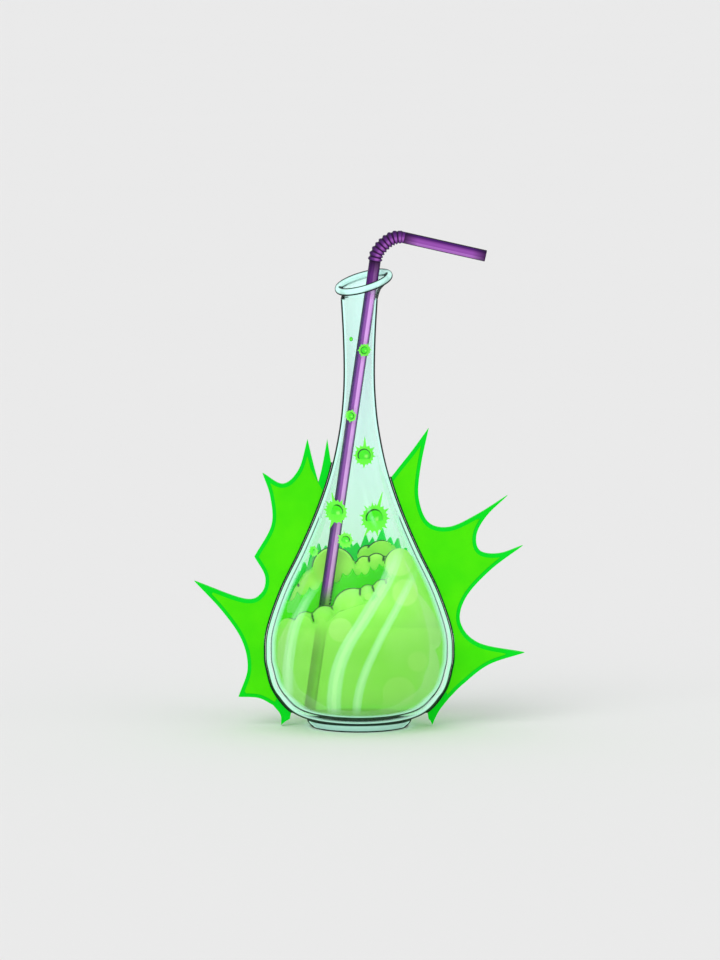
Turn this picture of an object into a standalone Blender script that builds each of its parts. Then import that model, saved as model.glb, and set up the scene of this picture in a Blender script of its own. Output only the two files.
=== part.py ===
"""Potion flask desk toy: a tear-drop glass flask with a foot and a tilted rolled lip, holding green
potion, foam and a frozen splash, with splats inside the glass, a bendy straw that lifts, turns and
bends, and a flat splash wing bonded to each side of the bulb.

Metres, +Z up. The origin is the middle of the foot's underside. The front looks along -Y and the
straw leans and bends towards +X.
"""

import math

import bmesh
import bpy
from mathutils import Matrix, Vector

MM = 0.001

# ---------------------------------------------------------------- clearances
GAP = 0.3 * MM
STRAW_CLEARANCE = 0.4 * MM
STRAW_NECK_CLEARANCE = 0.4226 * MM

# ---------------------------------------------------------------- glass flask
FACETS = 32
PROFILE_STEPS = 1
FLASK_BOTTOM_Z = 2.0 * MM
BULB_RADIUS = 42.25 * MM
BULB_WIDEST_Z = 32.4 * MM
SHOULDER_HEIGHT = 129.0 * MM
WAIST_RADIUS = 7.1 * MM
WAIST_Z = BULB_WIDEST_Z + SHOULDER_HEIGHT
NECK_LENGTH = 31.9 * MM
NECK_TOP_RADIUS = 8.35 * MM
NECK_TOP_Z = WAIST_Z + NECK_LENGTH
WALL_BASE = 2.8 * MM
WALL_BULB = 2.3 * MM
WALL_WAIST = 0.9 * MM
WALL_MOUTH = 0.7 * MM
# Shape of the bowl below the widest ring: share of the drop, share of the bulb's radius.
BOWL_STATIONS = ((0.0, 1.0), (0.22, 0.98), (0.52, 0.915), (0.81, 0.757), (0.94, 0.56), (0.99, 0.30),
                 (1.0, 0.0))
# Shape of the shoulder: share of the way to the waist, share of the radius still above the waist's.
SHOULDER_STATIONS = ((0.09, 0.973), (0.23, 0.797), (0.37, 0.549), (0.51, 0.33), (0.65, 0.162),
                     (0.79, 0.056), (0.90, 0.012))

# ---------------------------------------------------------------- foot
FOOT_TOP_RADIUS = 23.9 * MM
FOOT_BASE_RADIUS = 21.4 * MM

# ---------------------------------------------------------------- lip
LIP_CENTRE_X = 2.0 * MM
LIP_RISE = 7.5 * MM
LIP_CENTRE_Z = NECK_TOP_Z + LIP_RISE
LIP_FLARE = 3.55 * MM
LIP_RADIUS = NECK_TOP_RADIUS + LIP_FLARE
LIP_HALF_WIDTH = 1.5 * MM
LIP_HALF_HEIGHT = 1.75 * MM
LIP_TILT_SIDE = math.radians(16.0)
LIP_TILT_FRONT = math.radians(11.0)

# ---------------------------------------------------------------- straw
STRAW_RADIUS = 2.6 * MM
STRAW_WALL = 0.35 * MM
STRAW_FACETS = 20
STRAW_LEAN = math.radians(8.28)
STRAW_NECK_X = (NECK_TOP_RADIUS - WALL_MOUTH - STRAW_NECK_CLEARANCE
                - STRAW_RADIUS / math.cos(STRAW_LEAN))
STRAW_PROUD = 9.0 * MM
STRAW_TOP_Z = LIP_CENTRE_Z + STRAW_PROUD
PLEAT_DEPTH = 0.7 * MM
PLEAT_RADIUS = STRAW_RADIUS + PLEAT_DEPTH
PLEAT_PITCH = 2.0 * MM
PLEAT_FACETS = 16
PLEAT_TIP = 0.4 * MM
PLEAT_THIN = 0.92 * MM
PLEAT_THICK = 1.66 * MM
BEND_STEPS = (13.0, 12.0, 8.0, 5.0, 7.0, 11.0, 14.0, 13.0, 11.4)
ARM_LENGTH = 37.4 * MM
ARM_START = 1.0 * MM

# ---------------------------------------------------------------- drawn shapes
# The flask that the tables of puffs, edges, splats and scallops are drawn on, in millimetres. Their
# points follow the glass when its own sizes change.
DRAWN_BOTTOM_Z, DRAWN_WIDEST_Z, DRAWN_WAIST_Z = 2.0, 32.4, 161.4
DRAWN_BULB_RADIUS, DRAWN_WAIST_RADIUS = 42.25, 7.1

# ---------------------------------------------------------------- contents
POTION_FILL = 11.6 * MM
POTION_LEVEL_Z = BULB_WIDEST_Z + POTION_FILL
SURGE_SKIN = 1.1 * MM
BACK_DEPTH = 8.8 * MM
CROWN_STANDOFF = 1.5 * MM
CROWN_THICKNESS = 1.1 * MM
FILM_THICKNESS = 0.6 * MM
BEAD_THICKNESS = 1.5 * MM
BEAD_SLENDERNESS = 0.5

# ---------------------------------------------------------------- splash wings
WING_THICKNESS = 3.0 * MM
WING_BORDER = 1.7 * MM
WING_RIM = 0.7 * MM
RECESS_DEPTH = 0.6 * MM
INLAY_THICKNESS = 0.6 * MM
SEAL_WIDTH = 1.0 * MM
SCALLOP_STEPS = 2


# ================================================================ scene
def clear_scene():
    for obj in list(bpy.data.objects):
        bpy.data.objects.remove(obj, do_unlink=True)


def new_collection(name):
    collection = bpy.data.collections.new(name)
    bpy.context.scene.collection.children.link(collection)
    return collection


def principled(name, colour, roughness, metallic=0.0, alpha=1.0, transmission=0.0):
    material = bpy.data.materials.new(name)
    material.use_nodes = True
    shader = material.node_tree.nodes["Principled BSDF"]
    shader.inputs["Base Color"].default_value = (*colour, 1.0)
    shader.inputs["Roughness"].default_value = roughness
    shader.inputs["Metallic"].default_value = metallic
    shader.inputs["Alpha"].default_value = alpha
    shader.inputs["Transmission Weight"].default_value = transmission
    material.diffuse_color = (*colour, alpha)
    return material


def link(obj, collection, material=None):
    collection.objects.link(obj)
    if material:
        obj.data.materials.append(material)
    return obj


def as_cutter(obj):
    obj.hide_render = True
    obj.display_type = "WIRE"
    return obj


def boolean(obj, cutter, operation):
    modifier = obj.modifiers.new(operation.title(), "BOOLEAN")
    modifier.operation = operation
    modifier.solver = "EXACT"
    modifier.object = cutter
    return modifier


# ================================================================ curves in the plane
def catmull(points, steps):
    """A smooth run through the points, with its ends on the first and the last."""
    ends = [(2 * points[0][0] - points[1][0], 2 * points[0][1] - points[1][1])]
    tail = [(2 * points[-1][0] - points[-2][0], 2 * points[-1][1] - points[-2][1])]
    knots = ends + list(points) + tail
    run = []
    for i in range(1, len(knots) - 2):
        p0, p1, p2, p3 = knots[i - 1:i + 3]
        for k in range(steps):
            t = k / steps
            run.append(tuple(
                0.5 * (2 * p1[a] + (p2[a] - p0[a]) * t
                       + (2 * p0[a] - 5 * p1[a] + 4 * p2[a] - p3[a]) * t * t
                       + (3 * p1[a] - p0[a] - 3 * p2[a] + p3[a]) * t ** 3)
                for a in (0, 1)))
    run.append(tuple(points[-1]))
    return run


def unit_normal(before, after):
    """Normal of a run from before to after, to its right."""
    dx, dz = after[0] - before[0], after[1] - before[1]
    length = math.hypot(dx, dz)
    return dz / length, -dx / length


def offset_run(run, distances):
    """The run moved to its right by a distance at each point; points on the axis stay on it."""
    moved = []
    for i, point in enumerate(run):
        before = run[max(i - 1, 0)]
        after = run[min(i + 1, len(run) - 1)]
        nx, nz = unit_normal(before, after)
        if point[0] < 1e-9:
            moved.append((0.0, point[1] + distances[i] * math.copysign(1.0, nz)))
        else:
            moved.append((point[0] + nx * distances[i], point[1] + nz * distances[i]))
    return moved


def radius_at(run, z):
    """Radius of a run that climbs, at a height."""
    for low, high in zip(run, run[1:]):
        if low[1] <= z <= high[1]:
            share = (z - low[1]) / (high[1] - low[1])
            return low[0] + share * (high[0] - low[0])
    return run[0][0] if z < run[0][1] else run[-1][0]


def cut_run(run, low, high):
    """The stretch of a climbing run between two heights, with a point at each."""
    inside = [p for p in run if low + 1e-6 < p[1] < high - 1e-6]
    return [(radius_at(run, low), low)] + inside + [(radius_at(run, high), high)]


def distance_to_run(point, run):
    best = 1.0
    for a, b in zip(run, run[1:]):
        dx, dz = b[0] - a[0], b[1] - a[1]
        share = ((point[0] - a[0]) * dx + (point[1] - a[1]) * dz) / (dx * dx + dz * dz)
        share = min(max(share, 0.0), 1.0)
        best = min(best, math.hypot(point[0] - a[0] - share * dx, point[1] - a[1] - share * dz))
    return best


def area(outline):
    pairs = zip(outline, outline[1:] + outline[:1])
    return 0.5 * sum(a[0] * b[1] - b[0] * a[1] for a, b in pairs)


def inside_outline(point, outline):
    inside = False
    for a, b in zip(outline, outline[1:] + outline[:1]):
        if (a[1] > point[1]) != (b[1] > point[1]):
            crossing = a[0] + (point[1] - a[1]) * (b[0] - a[0]) / (b[1] - a[1])
            if crossing > point[0]:
                inside = not inside
    return inside


def without_folds(outline):
    """An anticlockwise outline without the points where it doubles back to the right."""
    kept = list(outline)
    i = 0
    while i < len(kept):
        before, point, after = kept[i - 1], kept[i], kept[(i + 1) % len(kept)]
        ax, az = point[0] - before[0], point[1] - before[1]
        bx, bz = after[0] - point[0], after[1] - point[1]
        turn = math.degrees(math.atan2(ax * bz - az * bx, ax * bx + az * bz))
        if turn < -70.0:
            del kept[i]
            i = max(i - 2, 0)
        else:
            i += 1
    return kept


def inset_outline(outline, distances):
    """An outline moved inwards, each edge by its own distance, without the points that would fold."""
    if area(outline) < 0:
        outline = outline[::-1]
        distances = distances[-2::-1] + distances[-1:]
    count = len(outline)
    lines = []
    for i in range(count):
        a, b = outline[i], outline[(i + 1) % count]
        nx, nz = unit_normal(a, b)
        lines.append((a, b, (-nx, -nz), distances[i]))
    kept = []
    for i in range(count):
        _, _, n0, d0 = lines[i - 1]
        _, _, n1, d1 = lines[i]
        cross = n0[0] * n1[1] - n0[1] * n1[0]
        corner = outline[i]
        if abs(cross) < 1e-4:
            point = (corner[0] + n1[0] * d1, corner[1] + n1[1] * d1)
        else:
            point = (corner[0] + (d0 * n1[1] - d1 * n0[1]) / cross,
                     corner[1] + (d1 * n0[0] - d0 * n1[0]) / cross)
        clear = all(distance_to_run(point, (a, b)) > d - 1e-6 for a, b, _, d in lines)
        if clear and inside_outline(point, outline):
            kept.append(point)
    return without_folds(kept)


# ================================================================ drawn shapes on the glass
def drawn_z(z):
    """The height on the glass of a height in the drawn tables."""
    if z < DRAWN_WIDEST_Z:
        share = (DRAWN_WIDEST_Z - z) / (DRAWN_WIDEST_Z - DRAWN_BOTTOM_Z)
        return BULB_WIDEST_Z - share * (BULB_WIDEST_Z - FLASK_BOTTOM_Z)
    share = (z - DRAWN_WIDEST_Z) / (DRAWN_WAIST_Z - DRAWN_WIDEST_Z)
    return BULB_WIDEST_Z + share * (WAIST_Z - BULB_WIDEST_Z)


def drawn_x(x, z):
    """The distance from the axis of a point in the drawn tables, moved out as the glass is."""
    if z < DRAWN_WIDEST_Z or abs(x) < DRAWN_WAIST_RADIUS:
        ratio = (BULB_RADIUS / DRAWN_BULB_RADIUS if z < DRAWN_WIDEST_Z
                 else WAIST_RADIUS / DRAWN_WAIST_RADIUS)
        return x * ratio
    share = (abs(x) - DRAWN_WAIST_RADIUS) / (DRAWN_BULB_RADIUS - DRAWN_WAIST_RADIUS)
    return math.copysign(WAIST_RADIUS + share * (BULB_RADIUS - WAIST_RADIUS), x)


def on_glass(points):
    return [(drawn_x(x, z), drawn_z(z)) for x, z in points]


# ================================================================ solids
def turned(name, profile, collection, material=None, closed=False, facets=FACETS):
    """A profile at +X, running down its outer side, turned about Z."""
    mesh = bpy.data.meshes.new(name)
    edges = [(i, i + 1) for i in range(len(profile) - 1)]
    if closed:
        edges.append((len(profile) - 1, 0))
    mesh.from_pydata([(r, 0.0, z) for r, z in profile], edges, [])
    obj = link(bpy.data.objects.new(name, mesh), collection, material)
    screw = obj.modifiers.new("Turn", "SCREW")
    screw.steps = facets
    screw.render_steps = facets
    screw.use_merge_vertices = True
    screw.merge_threshold = 1e-6
    screw.use_smooth_shade = True
    return obj


def prism(name, outline, low_y, high_y, collection, material=None):
    """An outline in the XZ plane, filled and given its thickness along Y."""
    curve = bpy.data.curves.new(name, "CURVE")
    curve.dimensions = "2D"
    curve.fill_mode = "BOTH"
    curve.extrude = 0.5 * (high_y - low_y)
    spline = curve.splines.new("POLY")
    spline.points.add(len(outline) - 1)
    for point, (x, z) in zip(spline.points, outline):
        point.co = (x, z, 0.0, 1.0)
    spline.use_cyclic_u = True
    drawn = bpy.data.objects.new(name + "_outline", curve)
    drawn.location = (0.0, 0.5 * (low_y + high_y), 0.0)
    drawn.rotation_euler = (math.radians(90), 0.0, 0.0)
    collection.objects.link(drawn)
    bpy.context.view_layer.update()
    graph = bpy.context.evaluated_depsgraph_get()
    mesh = bpy.data.meshes.new_from_object(drawn.evaluated_get(graph))
    place = drawn.matrix_world.copy()
    bpy.data.objects.remove(drawn, do_unlink=True)
    cage = bmesh.new()
    cage.from_mesh(mesh)
    bmesh.ops.remove_doubles(cage, verts=cage.verts, dist=1e-6)
    bmesh.ops.recalc_face_normals(cage, faces=cage.faces)
    cage.to_mesh(mesh)
    cage.free()
    mesh.name = name
    obj = link(bpy.data.objects.new(name, mesh), collection, material)
    obj.matrix_world = place
    return obj


def lofted(name, rings, collection, material):
    """A closed skin over rings of equal size, each joined to the next and the last to the first."""
    cage = bmesh.new()
    loops = [[cage.verts.new(p) for p in ring] for ring in rings]
    count = len(rings[0])
    for lower, upper in zip(loops, loops[1:] + loops[:1]):
        for i in range(count):
            j = (i + 1) % count
            cage.faces.new((lower[i], lower[j], upper[j], upper[i]))
    bmesh.ops.recalc_face_normals(cage, faces=cage.faces)
    mesh = bpy.data.meshes.new(name)
    cage.to_mesh(mesh)
    cage.free()
    mesh.shade_smooth()
    mesh.set_sharp_from_angle(angle=math.radians(40))
    return link(bpy.data.objects.new(name, mesh), collection, material)


def balls(name, puffs, collection):
    """Round puffs, each its own ball, in one cutter for a union that joins them."""
    cage = bmesh.new()
    for k, (x, y, z, radius) in enumerate(puffs):
        turn = Matrix.Rotation(0.7 * k + 0.3, 4, "Z") @ Matrix.Rotation(0.4 * k + 0.2, 4, "X")
        place = Matrix.Translation((drawn_x(x, z), drawn_x(y, z), drawn_z(z))) @ turn
        swell = BULB_RADIUS / DRAWN_BULB_RADIUS
        bmesh.ops.create_icosphere(cage, subdivisions=2, radius=radius * swell, matrix=place)
    mesh = bpy.data.meshes.new(name)
    cage.to_mesh(mesh)
    cage.free()
    mesh.shade_smooth()
    return as_cutter(link(bpy.data.objects.new(name, mesh), collection))


# ================================================================ flask
def outer_run():
    """The flask's outside as a climbing run from the axis to the top of the neck."""
    drop = BULB_WIDEST_Z - FLASK_BOTTOM_Z
    bowl = [(BULB_RADIUS * share, BULB_WIDEST_Z - drop * fall)
            for fall, share in reversed(BOWL_STATIONS)]
    rise = WAIST_Z - BULB_WIDEST_Z
    spread = BULB_RADIUS - WAIST_RADIUS
    shoulder = [(WAIST_RADIUS + spread * share, BULB_WIDEST_Z + rise * climb)
                for climb, share in SHOULDER_STATIONS]
    middle = 0.5 * (WAIST_Z + NECK_TOP_Z)
    neck = [(WAIST_RADIUS, WAIST_Z),
            (WAIST_RADIUS + 0.3 * (NECK_TOP_RADIUS - WAIST_RADIUS), middle),
            (NECK_TOP_RADIUS, NECK_TOP_Z)]
    return catmull(bowl + shoulder + neck, PROFILE_STEPS)


def wall_at(z):
    stops = ((FLASK_BOTTOM_Z, WALL_BASE), (BULB_WIDEST_Z, WALL_BULB), (WAIST_Z, WALL_WAIST),
             (NECK_TOP_Z, WALL_MOUTH))
    for (z0, w0), (z1, w1) in zip(stops, stops[1:]):
        if z <= z1:
            return w0 + (w1 - w0) * max(z - z0, 0.0) / (z1 - z0)
    return stops[-1][1]


def inner_run(outer, extra=0.0):
    """The run that lies a wall inside the outer one, and an extra distance further in."""
    run = offset_run(outer, [-(wall_at(z) + extra) for _, z in outer])
    run[-1] = (run[-1][0], NECK_TOP_Z)
    return run


def make_flask(parts, glass, outer):
    inner = inner_run(outer)
    body = turned("flask_body", inner + outer[::-1], parts, glass)
    return body


def make_foot(parts, glass, outer):
    seat = offset_run(outer, [GAP for _ in outer])
    top_z = next(low[1] + (FOOT_TOP_RADIUS - low[0]) / (high[0] - low[0]) * (high[1] - low[1])
                 for low, high in zip(seat, seat[1:]) if high[0] >= FOOT_TOP_RADIUS)
    top = [p for p in seat if p[0] < FOOT_TOP_RADIUS - 0.1 * MM and p[1] < BULB_WIDEST_Z]
    side = catmull([(FOOT_TOP_RADIUS, top_z),
                    (FOOT_TOP_RADIUS - 0.28 * (FOOT_TOP_RADIUS - FOOT_BASE_RADIUS), 0.55 * top_z),
                    (FOOT_BASE_RADIUS + 0.6 * MM, 0.14 * top_z),
                    (FOOT_BASE_RADIUS, 0.0)], 2)
    return turned("flask_foot", top + side + [(0.0, 0.0)], parts, glass)


def lip_frame(share):
    """Where a ring of the lip stands: share 0 is level on the neck, 1 is in the rolled rim's plane."""
    foot = Vector((0.0, 0.0, NECK_TOP_Z + GAP))
    crown = Vector((LIP_CENTRE_X, 0.0, LIP_CENTRE_Z))
    turn = (Matrix.Rotation(-LIP_TILT_SIDE * share, 4, "Y")
            @ Matrix.Rotation(LIP_TILT_FRONT * share, 4, "X"))
    return Matrix.Translation(foot.lerp(crown, share)) @ turn


def ring_points(frame, radius, height, facets=FACETS):
    return [frame @ Vector((radius * math.cos(a), radius * math.sin(a), height))
            for a in (2 * math.pi * i / facets for i in range(facets))]


def make_lip(parts, glass):
    base, middle, rim = lip_frame(0.0), lip_frame(0.45), lip_frame(1.0)
    bore = NECK_TOP_RADIUS - WALL_MOUTH
    rings = [ring_points(base, NECK_TOP_RADIUS, 0.0),
             ring_points(middle, NECK_TOP_RADIUS + 0.5 * MM, 0.0)]
    for angle in (-105, -55, -10, 35, 80, 125, 170, 215):
        a = math.radians(angle)
        rings.append(ring_points(rim, LIP_RADIUS + LIP_HALF_WIDTH * math.cos(a),
                                 LIP_HALF_HEIGHT * math.sin(a)))
    rings += [ring_points(middle, bore + 0.35 * MM, 0.0), ring_points(base, bore, 0.0)]
    return lofted("flask_lip", rings, parts, glass)


# ================================================================ straw
def straw_direction(heading):
    return Vector((math.sin(heading), 0.0, math.cos(heading)))


def straw_point(z):
    """The point of the straw's axis at a height."""
    return Vector((STRAW_NECK_X + (z - NECK_TOP_Z) * math.tan(STRAW_LEAN), 0.0, z))


def straw_end(outer):
    """How far down its axis the straw goes before its end rests on the flask's floor."""
    inner = inner_run(outer)
    along, across = straw_direction(STRAW_LEAN), straw_direction(STRAW_LEAN + math.pi / 2)
    side = Vector((0.0, 1.0, 0.0))
    low, high = FLASK_BOTTOM_Z, BULB_WIDEST_Z
    for _ in range(40):
        z = 0.5 * (low + high)
        centre = straw_point(z)
        rim = [centre + STRAW_RADIUS * (across * math.cos(a) + side * math.sin(a))
               for a in (2 * math.pi * i / 24 for i in range(24))]
        closest = min(distance_to_run((math.hypot(p.x, p.y), p.z), inner) for p in rim)
        lowest_inside = all(p.z > inner[0][1] and math.hypot(p.x, p.y) < radius_at(inner, p.z)
                            for p in rim)
        if lowest_inside and closest > GAP:
            high = z
        else:
            low = z
    return straw_point(high), along


def tube(name, length, collection, material):
    bore = STRAW_RADIUS - STRAW_WALL
    profile = [(STRAW_RADIUS, length), (STRAW_RADIUS, 0.0), (bore, 0.0), (bore, length)]
    return turned(name, profile, collection, material, closed=True, facets=STRAW_FACETS)


def pleat(name, collection, material):
    """One fold of the bellows about its own axis: thick at the back of the bend, thin inside it."""
    bore = STRAW_RADIUS - STRAW_WALL
    section = [(bore, 0.5), (STRAW_RADIUS, 0.5), (PLEAT_RADIUS, 0.5 * PLEAT_TIP / PLEAT_THICK),
               (PLEAT_RADIUS, -0.5 * PLEAT_TIP / PLEAT_THICK), (STRAW_RADIUS, -0.5), (bore, -0.5)]
    rings = []
    for radius, half in section:
        ring = []
        for i in range(PLEAT_FACETS):
            a = 2 * math.pi * i / PLEAT_FACETS
            x, y = radius * math.cos(a), radius * math.sin(a)
            share = 0.5 - 0.5 * x / PLEAT_RADIUS
            thickness = PLEAT_THIN + (PLEAT_THICK - PLEAT_THIN) * share
            ring.append((x, y, 0.5 * PLEAT_PITCH + half * thickness))
        rings.append(ring)
    return lofted(name, rings, collection, material)


def make_straw(parts, plastic, plastic_dark, end, along):
    top = straw_point(STRAW_TOP_Z)
    lower = tube("straw_lower_tube", (top - end).length, parts, plastic)
    lower.location = end
    lower.rotation_euler = (0.0, STRAW_LEAN, 0.0)
    heading, hinge = STRAW_LEAN, top
    for k in range(len(BEND_STEPS)):
        fold = pleat(f"straw_pleat_{k + 1}", parts, plastic_dark)
        fold.location = hinge
        fold.rotation_euler = (0.0, heading, 0.0)
        hinge = hinge + PLEAT_PITCH * straw_direction(heading)
        heading += math.radians(BEND_STEPS[k])
    arm = tube("straw_arm", ARM_LENGTH, parts, plastic)
    for vertex in arm.data.vertices:
        vertex.co.z += ARM_START
    arm.location = hinge
    arm.rotation_euler = (0.0, heading, 0.0)


def straw_bore(cutters, end):
    """The round channel that the straw keeps through the contents."""
    reach = STRAW_TOP_Z
    radius = STRAW_RADIUS + STRAW_CLEARANCE
    profile = [(0.0, reach), (radius, reach), (radius, -STRAW_CLEARANCE), (0.0, -STRAW_CLEARANCE)]
    bore = as_cutter(turned("straw_bore", profile, cutters, facets=24))
    bore.location = end
    bore.rotation_euler = (0.0, STRAW_LEAN, 0.0)
    return bore


# ================================================================ contents
FRONT_BED = ((-41, 44.3), (-37, 46), (-31, 47.5), (-22, 50), (-14, 51.5), (-9, 56), (0, 59),
             (8, 61), (13, 65), (15, 74), (22, 77), (28, 74), (36, 58), (41, 44.3))
FRONT_PUFFS = ((-31.5, -8, 44.8, 6.0), (-24.0, -12, 48.7, 5.0), (-15.2, -13, 49.9, 6.5),
               (-2.6, -14, 54.9, 9.5), (3.9, -13, 61.7, 4.0), (10.4, -13, 63.5, 4.6),
               (14.6, -11, 65.5, 3.6), (18.2, -11, 75.0, 7.1), (24.0, -8, 72.0, 6.5),
               (-20.0, -24, 46.0, 7.0), (-6.0, -26, 50.0, 8.0), (8.0, -24, 55.0, 8.0),
               (19.0, -19, 64.0, 8.0))
BACK_BED = ((-38, 40.0), (-33, 57), (-28, 60), (-24, 63), (-17, 69), (-10, 73), (0, 71),
            (6, 72), (14, 73), (22, 72), (30, 60), (38, 40.0))
BACK_PUFFS = ((-28.6, 7, 60.4, 3.2), (-19.2, 9, 61.6, 8.9), (-11.6, 8.5, 70.6, 9.9),
              (2.4, 8, 72.4, 4.0), (7.8, 8, 73.3, 4.4), (12.8, 8, 72.0, 4.4), (20.0, 7, 69.0, 6.0))
CREST_BED = ((-26, 40.0), (-22, 60), (-12, 66), (0, 71), (10, 76), (20, 74), (26, 40.0))
CREST_PUFFS = ((10.2, 16.2, 75.2, 7.4), (3.6, 16.8, 75.6, 4.6), (16.4, 15.4, 76.4, 4.4),
               (20.4, 14.4, 76.0, 3.9), (-8.0, 16.5, 62.0, 7.5))
SURGE_TOP = ((-38.5, 52), (-35, 55.5), (-30, 57), (-26.5, 60.5), (-22, 60), (-18, 62.3),
             (-11, 62.3), (-6, 67), (-2, 66), (2, 70), (7, 69), (11, 73), (16, 71), (22, 72),
             (29, 66), (36, 55))
CROWN_EDGE = ((-36, 58), (-31.5, 66), (-29, 62), (-26, 73), (-23.5, 68), (-19, 81), (-16, 75),
              (-11, 87), (-8, 78), (-4, 82), (-1.5, 78), (3, 85), (6, 80), (11, 88), (14, 80),
              (18, 84), (20.5, 75), (24.5, 77), (27, 69), (31, 66), (36, 56))


def vessel_space(name, cutters, outer, extra, low_z, high_z):
    """The room inside the glass, a distance from its wall, between two heights."""
    run = cut_run(inner_run(outer, extra), low_z, high_z)
    profile = [(0.0, high_z)] + run[::-1] + [(0.0, low_z)]
    return as_cutter(turned(name, profile, cutters))


def wall_skin(name, cutters, outer, start, thickness, low_z, high_z):
    """A thin skin that follows the inside of the glass between two heights."""
    near = cut_run(inner_run(outer, start), low_z, high_z)
    far = cut_run(inner_run(outer, start + thickness), low_z, high_z)
    return as_cutter(turned(name, near[::-1] + far, cutters, closed=True))


def make_potion(parts, cutters, liquid, outer, bore):
    run = inner_run(outer, GAP)
    level = POTION_LEVEL_Z
    below = [p for p in run if p[1] < level - 1e-6]
    profile = [(0.0, level), (radius_at(run, level), level)] + below[::-1]
    potion = turned("potion", profile, parts, liquid)
    boolean(potion, bore, "DIFFERENCE")


def make_bank(name, bed, puffs, low_y, high_y, room, parts, cutters, foam):
    """A bank of foam: a bed with puffs joined on top, kept in its layer and inside the glass."""
    bank = prism(name, on_glass(bed), low_y, high_y, parts, foam)
    top = balls(name + "_puffs", puffs, cutters)
    union = boolean(bank, top, "UNION")
    union.use_self = True
    reach = BULB_RADIUS * 1.5
    layer = [(-reach, 0.0), (reach, 0.0), (reach, WAIST_Z), (-reach, WAIST_Z)]
    slab = as_cutter(prism(name + "_layer", layer, low_y, high_y, cutters))
    boolean(bank, slab, "INTERSECT")
    boolean(bank, room, "INTERSECT")


def make_contents(parts, cutters, looks, outer, bore):
    make_potion(parts, cutters, looks["potion"], outer, bore)
    low = POTION_LEVEL_Z + GAP
    high = BULB_WIDEST_Z + 0.5 * (WAIST_Z - BULB_WIDEST_Z)
    room = vessel_space("room_to_glass", cutters, outer, GAP, low, high)
    inset = CROWN_STANDOFF + CROWN_THICKNESS + GAP
    inner_room = vessel_space("room_to_crown", cutters, outer, inset, low, high)
    reach = BULB_RADIUS * 1.2
    layer = STRAW_RADIUS + STRAW_CLEARANCE + SURGE_SKIN + GAP
    make_bank("foam_front", FRONT_BED, FRONT_PUFFS, -reach, -layer, room, parts, cutters,
              looks["foam"])
    crest_y = layer + BACK_DEPTH + GAP
    make_bank("foam_back", BACK_BED, BACK_PUFFS, layer, crest_y - GAP, inner_room, parts,
              cutters, looks["foam"])
    make_bank("foam_crest", CREST_BED, CREST_PUFFS, crest_y, reach, inner_room, parts,
              cutters, looks["foam"])
    wave = [(-reach, 0.9 * low)] + on_glass(SURGE_TOP) + [(reach, 0.9 * low)]
    surge = prism("potion_surge", wave, GAP - layer, layer - GAP, parts, looks["surge"])
    boolean(surge, room, "INTERSECT")
    boolean(surge, bore, "DIFFERENCE")
    skin = wall_skin("crown_skin", cutters, outer, CROWN_STANDOFF, CROWN_THICKNESS, low, high)
    edge = [(-reach, 0.9 * low)] + on_glass(CROWN_EDGE) + [(reach, 0.9 * low)]
    crown = prism("splash_crown", edge, layer + GAP, reach, parts, looks["crown"])
    boolean(crown, skin, "INTERSECT")


# name, x, z, bead radius, star radius, spikes as (angle, reach), in millimetres and degrees
SPLATS = (
    ("a", -3.8, 175.6, 1.0, 0.0, ()),
    ("b", 2.4, 170.6, 1.7, 2.5, ((0, 3.2), (60, 3.3), (120, 3.2), (180, 3.2), (240, 3.3), (300, 3.2))),
    ("c", -3.9, 141.0, 1.6, 2.2, ((15, 2.9), (75, 3.0), (140, 2.8), (200, 2.8), (262, 3.0), (320, 2.9))),
    ("d", 2.3, 123.6, 3.0, 4.0, ((88, 8.2), (35, 5.6), (-8, 5.2), (-50, 5.2), (-92, 6.0), (-135, 5.2),
                                 (180, 5.2), (135, 5.8))),
    ("e", -10.4, 98.5, 3.4, 4.4, ((105, 8.2), (62, 6.2), (20, 5.4), (-22, 5.4), (-62, 5.4), (-112, 8.0),
                                  (-150, 6.0), (178, 6.0), (142, 6.0))),
    ("f", 7.0, 96.0, 4.2, 5.4, ((72, 11.5), (30, 7.4), (-5, 7.0), (-40, 7.4), (-80, 8.0), (-122, 9.4),
                                (-155, 7.0), (168, 7.2), (130, 7.6), (100, 7.2))),
    ("g", -6.2, 86.6, 2.0, 2.9, ((0, 3.8), (50, 4.0), (100, 3.8), (150, 4.0), (200, 3.8), (250, 4.0),
                                 (305, 3.9))),
    ("h", -20.6, 80.6, 1.1, 1.7, ((20, 2.4), (80, 2.5), (140, 2.4), (200, 2.5), (260, 2.4), (320, 2.5))),
)


def star_outline(x, z, radius, spikes, steps=3):
    """A round blot with pointed arms, as a radius that depends on the angle."""
    order = sorted((math.radians(a) % (2 * math.pi), reach) for a, reach in spikes)
    outline = []
    for (a0, tip), (a1, _) in zip(order, order[1:] + [(order[0][0] + 2 * math.pi, 0)]):
        valley = 0.5 * (a0 + a1)
        next_tip = next(reach for a, reach in order if abs(a % 6.2831853 - a1 % 6.2831853) < 1e-6)
        for k in range(steps):
            share = k / steps
            outline.append((a0 + (valley - a0) * share, radius + (tip - radius) * (1 - share) ** 2))
        for k in range(steps):
            share = k / steps
            outline.append((valley + (a1 - valley) * share,
                            radius + (next_tip - radius) * share ** 2))
    return [(x + r * MM * math.cos(a), z + r * MM * math.sin(a)) for a, r in outline]


def disc_outline(x, z, radius, count=14):
    return [(x + radius * math.cos(a), z + radius * math.sin(a))
            for a in (2 * math.pi * i / count for i in range(count))]


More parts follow.
